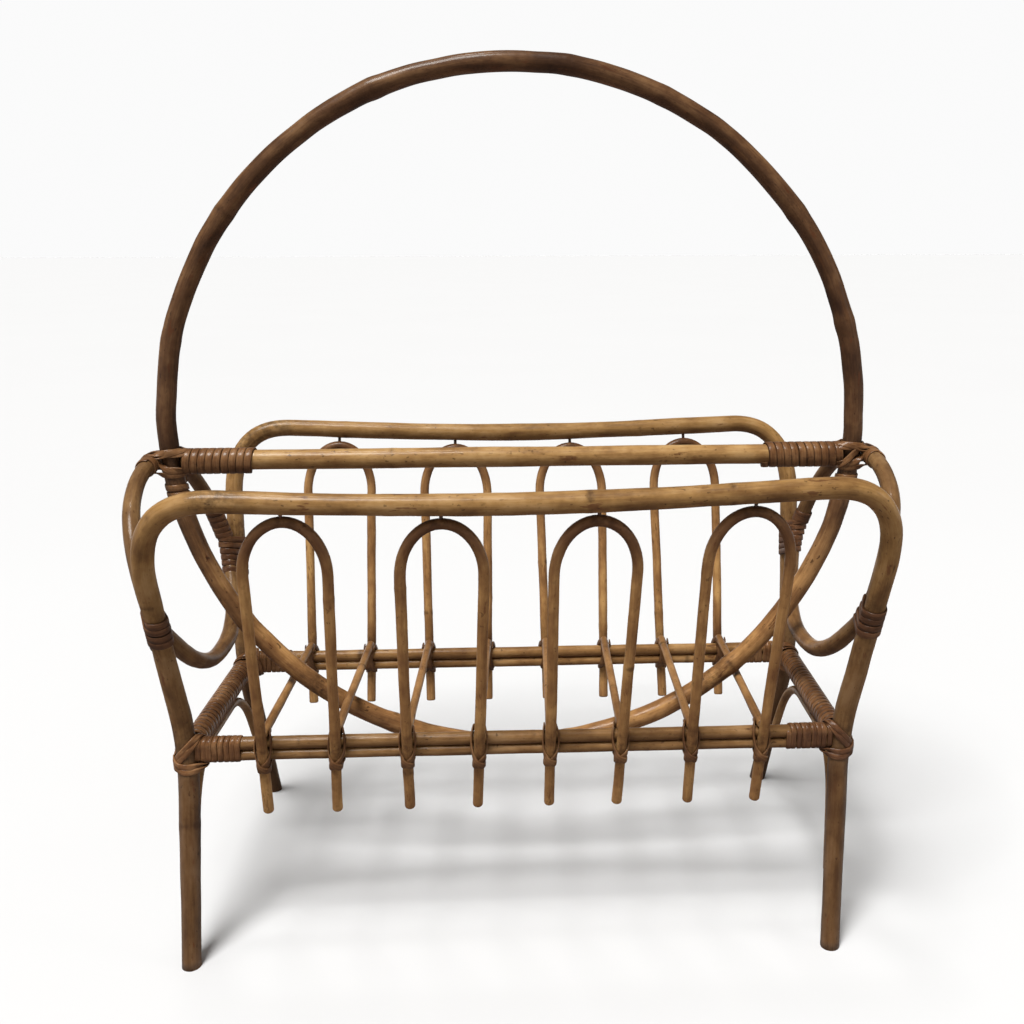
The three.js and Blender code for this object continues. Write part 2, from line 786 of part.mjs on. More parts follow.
// A crossed lashing: the strip goes twice round, side by side at the back and crossed at the front
function crossedStations(axis, rods, spread, turnShares, spreadShares) {
  const last = turnShares.length - 1;
  const widest = Math.max(...turnShares.slice(1).map((share, i) => share - turnShares[i]));
  const base = Math.max(...rods.map((rod) => chordLift(rod.radius, 1 / widest)));
  const stations = [];
  [1, -1].forEach((way) => {
    turnShares.forEach((share, i) => {
      const over = way > 0 ? i === last : i < 2;
      const lift = base + (over ? caneThickness + crossingClearance : 0);
      const { place, out } = bandPoint(rods, 2 * Math.PI * share, lift);
      const at = axis.origin.clone().addScaledVector(axis.along, way * spread * spreadShares[i])
        .addScaledVector(axis.u, place.x).addScaledVector(axis.v, place.y);
      const face = axis.u.clone().multiplyScalar(out.x).addScaledVector(axis.v, out.y);
      stations.push({ at, out: face });
    });
  });
  return stations;
}

// Lashing of one arch leg to a pair of lower rails
function addArchTie(face, x, name) {
  const leg = point(0, face.side * Math.sin(frameLean), Math.cos(frameLean));
  const middle = point(x, face.side * archRailReach, seamHeight);
  const high = middle.clone().addScaledVector(leg, (upperRailHeight - seamHeight) / leg.z);
  const low = middle.clone().addScaledVector(leg, (lowerRailHeight - seamHeight) / leg.z);
  const along = point(1, 0, 0);
  const u = along.clone().cross(leg).normalize();
  const outward = u.y * face.side > 0 ? u : u.negate();
  const axis = axisAt(high.clone().lerp(low, 1 / 2), along, outward);
  const rods = [
    localRod(axis, high, archRadius),
    localRod(axis, low, archRadius),
    localRod(axis, point(x, face.side * railReach, upperRailHeight), upperRailRadius),
    localRod(axis, point(x, face.side * railReach, lowerRailHeight), lowerRailRadius),
  ];
  const stations = crossedStations(axis, rods, crossingSpread, archTieTurnShares, archTieSpreadShares);
  addStrip(name, stations, caneWidth, true, archTieTurnShares.length);
}

function addArchTies(face) {
  legPlaces(face).forEach((x, i) => addArchTie(face, x, `${face.place}_arch_tie_${i + 1}`));
}

// Lashing of the hoop to the end of the bar and to the crown of an end ring
function addHoopTie(end, place) {
  const middle = (barHeight + ringCrownHeight) / 2;
  const centre = point(hoopSide(end, middle), 0, middle);
  const axis = axisAt(centre, point(0, 0, 1), point(0, -1, 0));
  const rods = [-1, 0, 1].map((way) => {
    const height = middle + way * junctionSpread;
    return localRod(axis, point(hoopSide(end, height), 0, height), poleRadius + clearance);
  });
  const stations = crossedStations(axis, rods, junctionSpread, hoopTieTurnShares, hoopTieSpreadShares);
  addStrip(`${place}_hoop_tie`, stations, caneWidth, true, hoopTieTurnShares.length);
}

const ends = [
  { end: -1, place: 'left' },
  { end: 1, place: 'right' },
];

addHoop();
addCentreBar();
faces.forEach((face) => {
  addFrame(`${face.place}_frame`, face.line);
  addLowerRails(face);
  addArches(face);
  addArchTies(face);
});
addFloorBars();
ends.forEach(({ end, place }) => {
  addSideRail(end, place);
  addRing(end, place);
  addBrace(end, place);
  addHoopTie(end, place);
  addBarWinding(end, place);
  addSideWinding(end, place);
});
faces.forEach((face) => ends.forEach(({ end, place }) => {
  const name = `${face.place}_${place}`;
  addCornerWinding(face, end, `${name}_corner_winding`);
  addRingTie(face, end, `${name}_ring_tie`);
}));

export default rack;
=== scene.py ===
"""Rattan magazine rack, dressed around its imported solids: bent poles, rods, cane bindings and nails."""
from __future__ import annotations

import logging
import math
import random
from dataclasses import dataclass
from enum import Enum
from functools import cached_property
from typing import Any, Callable, Sequence

import bmesh
import bpy
from mathutils import Matrix, Vector

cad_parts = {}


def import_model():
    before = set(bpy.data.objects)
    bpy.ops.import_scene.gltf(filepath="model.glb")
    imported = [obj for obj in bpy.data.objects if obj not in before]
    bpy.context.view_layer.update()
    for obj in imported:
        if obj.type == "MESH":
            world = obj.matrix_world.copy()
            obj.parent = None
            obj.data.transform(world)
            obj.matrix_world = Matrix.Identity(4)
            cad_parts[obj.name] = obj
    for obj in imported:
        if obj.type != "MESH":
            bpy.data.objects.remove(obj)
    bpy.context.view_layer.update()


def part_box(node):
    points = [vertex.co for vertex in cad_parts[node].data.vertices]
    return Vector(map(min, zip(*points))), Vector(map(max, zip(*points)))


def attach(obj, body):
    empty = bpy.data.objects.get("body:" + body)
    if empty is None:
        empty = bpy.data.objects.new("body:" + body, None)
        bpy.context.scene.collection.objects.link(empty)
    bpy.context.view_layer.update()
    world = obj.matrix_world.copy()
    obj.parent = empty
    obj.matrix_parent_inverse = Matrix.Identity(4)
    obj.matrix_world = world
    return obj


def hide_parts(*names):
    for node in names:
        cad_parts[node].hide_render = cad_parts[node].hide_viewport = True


LOG = logging.getLogger("rack")
MM = 0.001
BODY = "root"
UP = Vector((0, 0, 1))
CENTRE = Vector((0.0, 0.0))
FAR = 1e9
LINE_STEP = 3.0
TURN_STEPS = 30

Material = bpy.types.Material
Piece = bpy.types.Object
Values = dict[Any, Any]
Tone = tuple[float, float, float]
Circle = tuple[Vector, float]


class Side(Enum):
    """A side of the rack; the value is its sign along its axis."""

    @property
    def label(self) -> str:
        """The side's name as the pieces carry it."""
        return self.name.lower()


class Face(Side):
    """The two long sides, along Y."""

    FRONT = -1
    REAR = 1


class End(Side):
    """The two ends, along X."""

    LEFT = -1
    RIGHT = 1


# Node trees


def summed(operation: str, reflected: bool = False) -> Callable[[Wire, Wire | float], Wire]:
    """Make an operator of a wire.

    Args:
        operation: The Math node's operation.
        reflected: Whether the other value stands first.

    Returns:
        The operator.
    """
    def operator(wire: Wire, other: Wire | float) -> Wire:
        """Add the Math node."""
        return wire.recipe.math(operation, *((other, wire) if reflected else (wire, other)))
    return operator


@dataclass(frozen=True)
class Wire:
    """A socket that takes part in Python sums; each sum adds its Math node."""

    recipe: Recipe
    socket: bpy.types.NodeSocket

    __add__, __radd__ = summed("ADD"), summed("ADD", True)
    __sub__, __rsub__ = summed("SUBTRACT"), summed("SUBTRACT", True)
    __mul__, __rmul__ = summed("MULTIPLY"), summed("MULTIPLY", True)
    __truediv__, __rtruediv__ = summed("DIVIDE"), summed("DIVIDE", True)
    __pow__, __rpow__ = summed("POWER"), summed("POWER", True)

    def between(self, low: float, high: float) -> Wire:
        """Blend smoothly from 0 at low to 1 at high."""
        values = {"Value": self, "From Min": low, "From Max": high}
        return self.recipe.wire("ShaderNodeMapRange", {"interpolation_type": "SMOOTHSTEP"}, values, "Result")

    def vector(self, operation: str, others: Values) -> Wire:
        """Work on a vector with a Vector Math node."""
        return self.recipe.wire("ShaderNodeVectorMath", {"operation": operation}, {0: self, **others})

    def part(self, axis: str) -> Wire:
        """One part of a vector: X, Y or Z."""
        return self.recipe.wire("ShaderNodeSeparateXYZ", {}, {0: self}, axis)


@dataclass
class Recipe:
    """A tree that is built node by node."""

    tree: bpy.types.NodeTree

    def add(self, kind: str, settings: Values | None = None, values: Values | None = None) -> bpy.types.Node:
        """Add one node.

        Args:
            kind: The node's type name.
            settings: Properties that are set before any socket.
            values: Socket name or index, and the number or wire that it gets, or a list of wires.

        Returns:
            The new node.
        """
        node = self.tree.nodes.new(kind)
        for key, value in (settings or {}).items():
            if key != "stops":
                setattr(node, key, value)
                continue
            elements = node.color_ramp.elements
            for index, (place, colour) in enumerate(value):
                stop = elements[index] if index < 2 else elements.new(place)
                stop.position, stop.color = place, (*colour, 1.0)
        for key, value in (values or {}).items():
            for source in value if isinstance(value, list) else [value]:
                if isinstance(source, Wire):
                    self.tree.links.new(source.socket, node.inputs[key])
                else:
                    node.inputs[key].default_value = source
        return node

    def wire(self, kind: str, settings: Values | None = None, values: Values | None = None,
             output: str | int = 0) -> Wire:
        """Add one node and take one of its outputs."""
        return Wire(self, self.add(kind, settings, values).outputs[output])

    def math(self, operation: str, *terms: Wire | float) -> Wire:
        """Add a Math node."""
        return self.wire("ShaderNodeMath", {"operation": operation}, dict(enumerate(terms)))


@dataclass(frozen=True)
class Pattern:
    """A noise texture over a piece, or along its grain where it has a stretch."""

    scale: float
    detail: float
    roughness: float
    stretch: float = 0.0


class SurfaceRecipe(Recipe):
    """Builds one material's nodes."""

    def __init__(self, name: str) -> None:
        """Start an empty material.

        Args:
            name: The material's name.
        """
        self.material = bpy.data.materials.new(name)
        self.material.use_nodes = True
        super().__init__(self.material.node_tree)
        self.tree.nodes.clear()
        self.place = self.wire("ShaderNodeTexCoord", output="Object")

    def attribute(self, name: str, output: str = "Fac") -> Wire:
        """Read an attribute that the piece's mesh carries."""
        return self.wire("ShaderNodeAttribute", {"attribute_name": name}, output=output)

    @cached_property
    def grain(self) -> Wire:
        """Where a point lies across and along its pole or strip."""
        return self.attribute("grain", "Vector")

    def noise(self, pattern: Pattern) -> Wire:
        """Add a noise texture.

        Args:
            pattern: The texture's sizes.

        Returns:
            Its value.
        """
        place = self.place
        if pattern.stretch:
            place = self.grain.vector("MULTIPLY", {1: (1, 1, pattern.stretch)})
        return self.wire("ShaderNodeTexNoise", {}, {"Vector": place, "Scale": pattern.scale,
                                                    "Detail": pattern.detail, "Roughness": pattern.roughness})

    def ramp(self, value: Wire, *stops: tuple[float, Tone]) -> Wire:
        """Turn a value into a colour."""
        return self.wire("ShaderNodeValToRGB", {"stops": stops}, {"Fac": value})

    def mixed(self, base: Wire, over: Wire | Tone, share: Wire | float, blend: str = "MIX") -> Wire:
        """Mix two colours.

        Args:
            base: The first colour.
            over: The second colour.
            share: How much of the second shows.
            blend: The kind of mix.

        Returns:
            The mixed colour.
        """
        colour = over if isinstance(over, Wire) else (*over, 1.0)
        settings = {"data_type": "RGBA", "blend_type": blend}
        return self.wire("ShaderNodeMix", settings, {0: share, 6: base, 7: colour}, 2)

    def tinted(self, colour: Wire, tint: Tone, plain: Wire) -> Wire:
        """Tint a colour, except where the plain colour's share is 1."""
        return self.mixed(self.mixed(colour, tint, 1.0, "MULTIPLY"), colour, plain)

    def finish(self, colour: Wire, roughness: Wire | float, height: Wire, depth: float,
               others: dict[str, Wire | float]) -> Material:
        """Join the parts to the shader.

        Args:
            colour: The base colour.
            roughness: The roughness.
            height: The bump's height, about 0 to 1.
            depth: The depth in metres of a height of 1.
            others: What other sockets of the shader get.

        Returns:
            The material.
        """
        bump = self.wire("ShaderNodeBump", {}, {"Height": height, "Distance": depth, "Strength": 1.0})
        parts = {"Base Color": colour, "Roughness": roughness, "Normal": bump, **others}
        shader = self.wire("ShaderNodeBsdfPrincipled", {}, parts)
        self.add("ShaderNodeOutputMaterial", {}, {"Surface": shader})
        return self.material


def tone(*parts: int) -> Tone:
    """Turn a colour as seen on a screen, 0 to 255, into the shader's linear one.

    Args:
        parts: Red, green and blue.

    Returns:
        The linear colour.
    """
    shares = [part / 255 for part in parts]
    return tuple(share / 12.92 if share <= 0.04045 else ((share + 0.055) / 1.055) ** 2.4 for share in shares)


@dataclass(frozen=True)
class RattanFinish:
    """Varnished rattan: fibres along the pole, scarred nodes, blotches, specks, dirt at the joints, darkening
    about given spots, and painted shade on the undersides.
    """

    name: str
    dark: Tone
    middle: Tone
    light: Tone
    stain: float = 0.6
    lower_tint: Tone = (1.0, 1.0, 1.0)
    lower_height: float = 0.06
    upper_height: float = 0.25
    foot_tint: Tone = (1.0, 1.0, 1.0)
    foot_heights: tuple[float, float] = (0.088, 0.125)
    # Painted shade: multiplies the colour on faces that turn downwards.
    under_tint: Tone = (0.36, 0.3, 0.27)
    knot: Tone = tone(52, 32, 18)
    speck: Tone = tone(44, 27, 15)
    smear: Tone = tone(78, 44, 24)
    gloss: float = 0.3
    varnish: float = 0.16
    fibres: Pattern = Pattern(1300, 5, 0.62, 0.03)
    strands: Pattern = Pattern(420, 3, 0.55, 0.08)
    blotches: Pattern = Pattern(30, 4, 0.6)
    patches: Pattern = Pattern(130, 4, 0.6, 0.4)
    flecks: Pattern = Pattern(540, 2, 0.5, 0.55)
    clusters: Pattern = Pattern(46, 3, 0.6)
    dashes: Pattern = Pattern(250, 4, 0.6, 0.22)
    smudges: Pattern = Pattern(170, 4, 0.65, 0.28)
    grime: Pattern = Pattern(210, 4, 0.65)
    rags: Pattern = Pattern(640, 3, 0.6, 0.6)
    flanks: Pattern = Pattern(150, 1, 0.5, 0.2)
    waves: Pattern = Pattern(190, 2, 0.5)

    def build(self) -> Material:
        """Make the material.

        Returns:
            The material.
        """
        recipe = SurfaceRecipe(self.name)
        knot, soil, lit = (recipe.attribute(name) for name in ("knot", "soil", "up"))
        height = recipe.place.part("Z")
        fibre, strand = recipe.noise(self.fibres), recipe.noise(self.strands)
        shade = (fibre * 0.13 + strand * 0.15 + recipe.noise(self.blotches) * 0.38
                 + recipe.noise(self.patches) * 0.34)
        stops = (0.0, self.dark), (1.0, self.light), (0.5, self.middle)
        colour = recipe.ramp(shade.between(0.34, 0.68), *stops)
        colour = recipe.tinted(colour, self.lower_tint, height.between(self.lower_height, self.upper_height))
        colour = recipe.tinted(colour, self.foot_tint, height.between(*self.foot_heights))
        # Painted shade on the undersides, from each point's upward facing.
        colour = recipe.tinted(colour, self.under_tint, lit.between(-0.85, 0.6))
        flecks = recipe.noise(self.flecks).between(0.65, 0.68)
        cluster = recipe.noise(self.clusters).between(0.5, 0.58)
        dashes = recipe.noise(self.dashes).between(0.6, 0.66)
        smudge = recipe.noise(self.smudges).between(0.54, 0.76)
        colour = recipe.mixed(colour, self.smear, smudge * self.stain * 0.6)
        colour = recipe.mixed(colour, self.smear, dashes * cluster * self.stain * 1.2)
        colour = recipe.mixed(colour, self.speck, flecks * (cluster * 0.6 + 0.4) * self.stain)
        # Dirt at the joints, and darkening about the darkened spots, which on the frame's top rail is painted
        # shade.
        colour = recipe.mixed(colour, self.speck, soil * recipe.noise(self.grime).between(0.3, 0.7) * 0.7)
        ragged = recipe.noise(self.rags)
        flank = recipe.noise(self.flanks).between(0.36, 0.62)
        scar = (knot * (0.3 + ragged) * (0.25 + flank * 0.9)).between(0.16, 0.85)
        colour = recipe.mixed(colour, self.knot, scar * 0.65)
        sheen = lit.between(-0.3, 0.5)
        roughness = self.gloss + fibre * 0.12 + scar * 0.15 + smudge * 0.1 + soil * 0.1 + (1.0 - sheen) * 0.4
        relief = fibre * 0.4 + strand * 0.6 + recipe.noise(self.waves) * 1.3 - scar * 0.8 + ragged * 0.1
        others = {"Coat Weight": sheen * self.varnish, "Coat Roughness": 0.13, "Specular IOR Level": 0.1}
        return recipe.finish(colour, roughness, relief, 0.00022, others)


@dataclass(frozen=True)
class CaneFinish:
    """Split cane: fine lines along the strip, dark edges painted as shade in the gaps between turns, and
    painted shade on the undersides.
    """

    name: str
    dark: Tone
    middle: Tone
    light: Tone
    half_width: float = 2.0 * MM
    # Painted shade for the strip's edges, where the gaps between turns lie.
    edge: Tone = tone(36, 22, 13)
    # Painted shade for faces that turn downwards.
    under_tint: Tone = (0.38, 0.34, 0.32)
    fibres: Pattern = Pattern(2600, 4, 0.6, 0.03)
    strands: Pattern = Pattern(700, 3, 0.6, 0.12)
    blotches: Pattern = Pattern(90, 4, 0.6)
    patches: Pattern = Pattern(34, 2, 0.5)
    wear: Pattern = Pattern(240, 2, 0.5)
    grime: Pattern = Pattern(320, 3, 0.6)

    def build(self) -> Material:
        """Make the material.

        Returns:
            The material.
        """
        recipe = SurfaceRecipe(self.name)
        across = recipe.grain.part("Y") / self.half_width
        fibre, strand, blotch = (recipe.noise(p) for p in (self.fibres, self.strands, self.blotches))
        shade = fibre * 0.24 + strand * 0.26 + blotch * 0.36 + recipe.noise(self.patches) * 0.36
        stops = (0.0, self.dark), (1.0, self.light), (0.5, self.middle)
        colour = recipe.ramp(shade.between(0.4, 0.82), *stops)
        worn = recipe.noise(self.wear).between(0.35, 0.65)
        # Painted shade: the edges are darkened, unevenly, as if in shadow between turns.
        rim = recipe.math("ABSOLUTE", across).between(0.84, 1.02) * (0.35 + worn * 0.65)
        lit = recipe.attribute("up")
        # Painted shade on the undersides, from each point's upward facing.
        colour = recipe.tinted(colour, self.under_tint, lit.between(-0.85, 0.6))
        colour = recipe.mixed(colour, self.edge, rim * 0.75)
        colour = recipe.mixed(colour, self.edge, recipe.noise(self.grime).between(0.52, 0.72) * 0.35)
        sheen = lit.between(-0.3, 0.5)
        roughness = 0.28 + fibre * 0.2 + rim * 0.15 + (1.0 - sheen) * 0.4
        relief = fibre * 0.5 + strand * 0.4 + blotch * 0.5
        others = {"Coat Weight": sheen * 0.18, "Coat Roughness": 0.14, "Specular IOR Level": 0.12}
        return recipe.finish(colour, roughness, relief, 0.00016, others)


@dataclass(frozen=True)
class CutEndFinish:
    """The sawn end of a pole: pale pith with dark pores."""

    name: str = "rattan_cut_end"
    pith: Tone = tone(150, 116, 78)
    pore: Tone = tone(70, 46, 28)
    pores: float = 1500.0
    soil: Pattern = Pattern(240, 3, 0.6)

    def build(self) -> Material:
        """Make the material.

        Returns:
            The material.
        """
        recipe = SurfaceRecipe(self.name)
        values = {"Vector": recipe.place, "Scale": self.pores}
        cells = recipe.wire("ShaderNodeTexVoronoi", {"feature": "F1"}, values, "Distance")
        dots = 1.0 - cells.between(0.12, 0.4)
        soil = recipe.noise(self.soil)
        colour = recipe.ramp(soil.between(0.3, 0.75), (0.0, self.pore), (1.0, self.pith))
        colour = recipe.mixed(colour, self.pore, dots * 0.7)
        return recipe.finish(colour, 0.7 + soil * 0.2, soil - dots * 0.6, 0.0002, {"Specular IOR Level": 0.3})


@dataclass(frozen=True)
class NailFinish:
    """A blackened steel nail with a trace of rust."""

    name: str = "dark_nail"
    steel: Tone = tone(46, 40, 36)
    rust: Tone = tone(82, 48, 30)
    spots: Pattern = Pattern(900, 4, 0.6)

    def build(self) -> Material:
        """Make the material.

        Returns:
            The material.
        """
        recipe = SurfaceRecipe(self.name)
        spots = recipe.noise(self.spots)
        worn = spots.between(0.45, 0.62)
        colour = recipe.ramp(worn, (0.0, self.steel), (1.0, self.rust))
        return recipe.finish(colour, 0.42 + worn * 0.35, spots, 0.00008, {"Metallic": 0.9 - worn * 0.7})


@dataclass(frozen=True)
class FloorFinish:
    """A plain pale studio floor."""

    name: str = "pale_floor"
    pale: Tone = (0.609, 0.618, 0.639)
    shade: Tone = (0.605, 0.614, 0.635)
    clouds: Pattern = Pattern(1.4, 3, 0.5)
    speckles: Pattern = Pattern(180, 2, 0.5)

    def build(self) -> Material:
        """Make the material.

        Returns:
            The material.
        """
        recipe = SurfaceRecipe(self.name)
        cloud, speckle = recipe.noise(self.clouds), recipe.noise(self.speckles)
        colour = recipe.ramp(cloud.between(0.3, 0.7), (0.0, self.shade), (1.0, self.pale))
        return recipe.finish(colour, 0.8 + speckle * 0.1, speckle, 0.00002, {"Specular IOR Level": 0.05})


class GeometryRecipe(Recipe):
    """One geometry tree with named inputs for its sizes."""

    def __init__(self, name: str, **inputs: str) -> None:
        """Start a tree.

        Args:
            name: The tree's name.
            inputs: Each input's label and kind.
        """
        super().__init__(bpy.data.node_groups.new(name, "GeometryNodeTree"))

        def socket(label: str, kind: str, way: str = "INPUT") -> str:
            """Add a socket to the tree itself, and give its identifier."""
            kind = f"NodeSocket{kind}"
            return self.tree.interface.new_socket(label, in_out=way, socket_type=kind).identifier

        socket("Geometry", "Geometry")
        self.identifiers = {label: socket(label, kind) for label, kind in inputs.items()}
        socket("Geometry", "Geometry", "OUTPUT")
        self.start = self.add("NodeGroupInput")

    def given(self, label: str) -> Wire:
        """One of the tree's own inputs."""
        return Wire(self, self.start.outputs[label])

    def named(self, name: str, data: str = "FLOAT") -> Wire:
        """An attribute of the geometry."""
        return self.wire("GeometryNodeInputNamedAttribute", {"data_type": data}, {"Name": name})

    def stored(self, geometry: Wire, name: str, value: Wire, data: str = "FLOAT_VECTOR") -> Wire:
        """Store a value on the geometry's points."""
        values = {"Geometry": geometry, "Name": name, "Value": value}
        return self.wire("GeometryNodeStoreNamedAttribute", {"data_type": data, "domain": "POINT"}, values)

    def sweep(self, curve: Wire, profile: Wire) -> None:
        """Sweep a profile along a curve, and keep where each point lies on it as its grain.

        Args:
            curve: The middle line, whose points carry their girth.
            profile: The section.
        """
        line = self.stored(curve, "along", self.wire("GeometryNodeSplineParameter", output="Length"), "FLOAT")
        section = self.stored(profile, "around", self.wire("GeometryNodeInputPosition"))
        sizes = {"Curve": line, "Profile Curve": section, "Scale": self.named("girth"), "Fill Caps": True}
        body = self.wire("GeometryNodeCurveToMesh", {}, sizes)
        lift = self.wire("ShaderNodeCombineXYZ", {}, {"Z": self.named("along")})
        grain = self.named("around", "FLOAT_VECTOR").vector("ADD", {1: lift})
        self.close(self.stored(body, "grain", grain))

    def close(self, geometry: Wire) -> None:
        """End the tree with its instances realized and its material set.

        Args:
            geometry: What the tree has made.
        """
        for kind in ("GeometryNodeRealizeInstances", "GeometryNodeSetShadeSmooth"):
            geometry = self.wire(kind, {}, {"Geometry": geometry})
        values = {"Geometry": geometry, "Material": self.given("Material")}
        self.add("NodeGroupOutput", {}, {0: self.wire("GeometryNodeSetMaterial", {}, values)})


def pole_recipe() -> GeometryRecipe:
    """A pole that grows along a line: a round section, its own girth at each point, and a slight wander.

    Returns:
        The tree.
    """
    recipe = GeometryRecipe("grow_pole", Radius="Float", Sides="Int", Wander="Float", Seed="Float",
                            Material="Material")
    noise = recipe.wire("ShaderNodeTexNoise", {"noise_dimensions": "4D"},
                        {"W": recipe.given("Seed"), "Scale": 17.0, "Detail": 2.0, "Roughness": 0.6}, "Color")
    reach = recipe.given("Wander") * recipe.named("free")
    offset = noise.vector("SUBTRACT", {1: (0.5, 0.5, 0.5)}).vector("SCALE", {"Scale": reach})
    line = recipe.given("Geometry")
    moved = recipe.wire("GeometryNodeSetPosition", {}, {"Geometry": line, "Offset": offset})
    sizes = {"Resolution": recipe.given("Sides"), "Radius": recipe.given("Radius")}
    profile = recipe.wire("GeometryNodeCurvePrimitiveCircle", {}, sizes)
    recipe.sweep(recipe.wire("GeometryNodeMeshToCurve", {}, {"Mesh": moved}), profile)
    return recipe


def cane_recipe() -> GeometryRecipe:
    """A split cane strip that lies along a line: flat below, rounded above, facing outwards.

    Returns:
        The tree.
    """
    recipe = GeometryRecipe("lay_cane", Width="Float", Thickness="Float", Sides="Int", Material="Material")
    curve = recipe.wire("GeometryNodeMeshToCurve", {}, {"Mesh": recipe.given("Geometry")})
    turned = recipe.wire("GeometryNodeSetCurveNormal", {"mode": "FREE"},
                         {"Curve": curve, "Normal": recipe.named("facing", "FLOAT_VECTOR")})
    sizes = {"Resolution": recipe.given("Sides"), "Radius": 1.0}
    circle = recipe.wire("GeometryNodeCurvePrimitiveCircle", {}, sizes)
    place = recipe.wire("GeometryNodeInputPosition")
    side, top = place.part("X"), place.part("Y")
    broad = recipe.math("SIGN", side) * recipe.math("ABSOLUTE", side) ** 0.5
    rise = (recipe.math("MAXIMUM", top, 0.0) ** 0.45 - 0.12) * recipe.given("Thickness")
    section = recipe.wire("ShaderNodeCombineXYZ", {}, {"X": rise, "Y": broad * recipe.given("Width") * 0.5})
    profile = recipe.wire("GeometryNodeSetPosition", {}, {"Geometry": circle, "Position": section})
    recipe.sweep(turned, profile)
    return recipe


def nail_recipe() -> GeometryRecipe:
    """Nails driven at points, each along its point's own direction: a shank under a low head.

    Returns:
        The tree.
    """
    recipe = GeometryRecipe("drive_nails", Shank="Float", Length="Float", Head="Float", Material="Material")
    radius, length, head = (recipe.given(label) for label in ("Shank", "Length", "Head"))
    shank = recipe.wire("GeometryNodeMeshCylinder", {}, {"Vertices": 10, "Radius": radius, "Depth": length})
    collar = recipe.wire("GeometryNodeMeshCone", {}, {"Vertices": 12, "Radius Top": radius,
                                                      "Radius Bottom": head, "Depth": radius})
    seat = recipe.wire("ShaderNodeCombineXYZ", {}, {"Z": length * -0.5})
    lowered = recipe.wire("GeometryNodeTransform", {}, {"Geometry": collar, "Translation": seat})
    nail = recipe.wire("GeometryNodeJoinGeometry", {}, {0: [shank, lowered]})
    points = recipe.wire("GeometryNodeMeshToPoints", {}, {"Mesh": recipe.given("Geometry")})
    aim = recipe.wire("FunctionNodeAlignRotationToVector", {"axis": "Z"},
                      {"Vector": recipe.named("aim", "FLOAT_VECTOR")})
    recipe.close(recipe.wire("GeometryNodeInstanceOnPoints", {}, {"Points": points, "Instance": nail,
                                                                  "Rotation": aim}))
    return recipe


# Lines


@dataclass
class Line:
    """A middle line in millimetres, as closely spaced points."""

    points: list[Vector]
    closed: bool = False

    def lengths(self) -> list[float]:
        """Measure along the line.

        Returns:
            The distance of each point from the start.
        """
        out = [0.0]
        for before, after in zip(self.points, self.points[1:]):
            out.append(out[-1] + (after - before).length)
        return out

    def resampled(self, step: float) -> Line:
        """Space the line's points evenly.

        Args:
            step: The spacing.

        Returns:
            The new line.
        """
        points = self.points + self.points[:1] if self.closed else self.points
        lengths = Line(points).lengths()
        count = max(2, round(lengths[-1] / step))
        out, index = [], 0
        for k in range(count if self.closed else count + 1):
            target = lengths[-1] * k / count
            while index < len(lengths) - 2 and lengths[index + 1] < target:
                index += 1
            span = lengths[index + 1] - lengths[index]
            share = (target - lengths[index]) / span if span else 0.0
            out.append(points[index].lerp(points[index + 1], min(share, 1.0)))
        return Line(out, self.closed)


def straight(start: Vector, end: Vector) -> Line:
    """A straight line."""
    return Line([start, end]).resampled(LINE_STEP)


def bent(start: Vector, corners: Sequence[tuple[Vector, float, float]], end: Vector) -> Line:
    """A line of straight runs with rounded corners.

    Args:
        start: The first point.
        corners: Each corner with the run that its bend takes before and after it.
        end: The last point.

    Returns:
        The line.
    """
    spots = [start, *[corner[0] for corner in corners], end]
    points, steps = [start], 24
    for index, (at, before, after) in enumerate(corners, 1):
        enter = at + (spots[index - 1] - at).normalized() * before
        leave = at + (spots[index + 1] - at).normalized() * after
        for share in (step / steps for step in range(steps + 1)):
            points.append(enter.lerp(at, share).lerp(at.lerp(leave, share), share))
    return Line([*points, end]).resampled(LINE_STEP)


def round_spline(spots: Sequence[Vector]) -> Line:
    """A closed smooth line through points, with centripetal spacing.

    Args:
        spots: The points.

    Returns:
        The line.
    """
    out, count, steps = [], len(spots), 16
    for index in range(count):
        first, second, third, fourth = (spots[(index + k) % count] for k in (-1, 0, 1, 2))
        a, b, c = (max((end - start).length, 1e-6) ** 0.5
                   for start, end in ((first, second), (second, third), (third, fourth)))
        leave = ((second - first) / a - (third - first) / (a + b) + (third - second) / b) * b
        arrive = ((third - second) / b - (fourth - second) / (b + c) + (fourth - third) / c) * b
        for t in (step / steps for step in range(steps)):
            out.append(second * (2 * t ** 3 - 3 * t ** 2 + 1) + leave * (t ** 3 - 2 * t ** 2 + t)
                       + third * (3 * t ** 2 - 2 * t ** 3) + arrive * (t ** 3 - t ** 2))
    return Line(out, True).resampled(LINE_STEP)


# Workshop


def placed(name: str, data: bpy.types.ID) -> Piece:
    """Put a mesh, a lamp or a camera into the scene.

    Args:
        name: The object's name.
        data: The mesh, lamp or camera.

    Returns:
        The object.
    """
    thing = bpy.data.objects.new(name, data)
    bpy.context.scene.collection.objects.link(thing)
    return thing


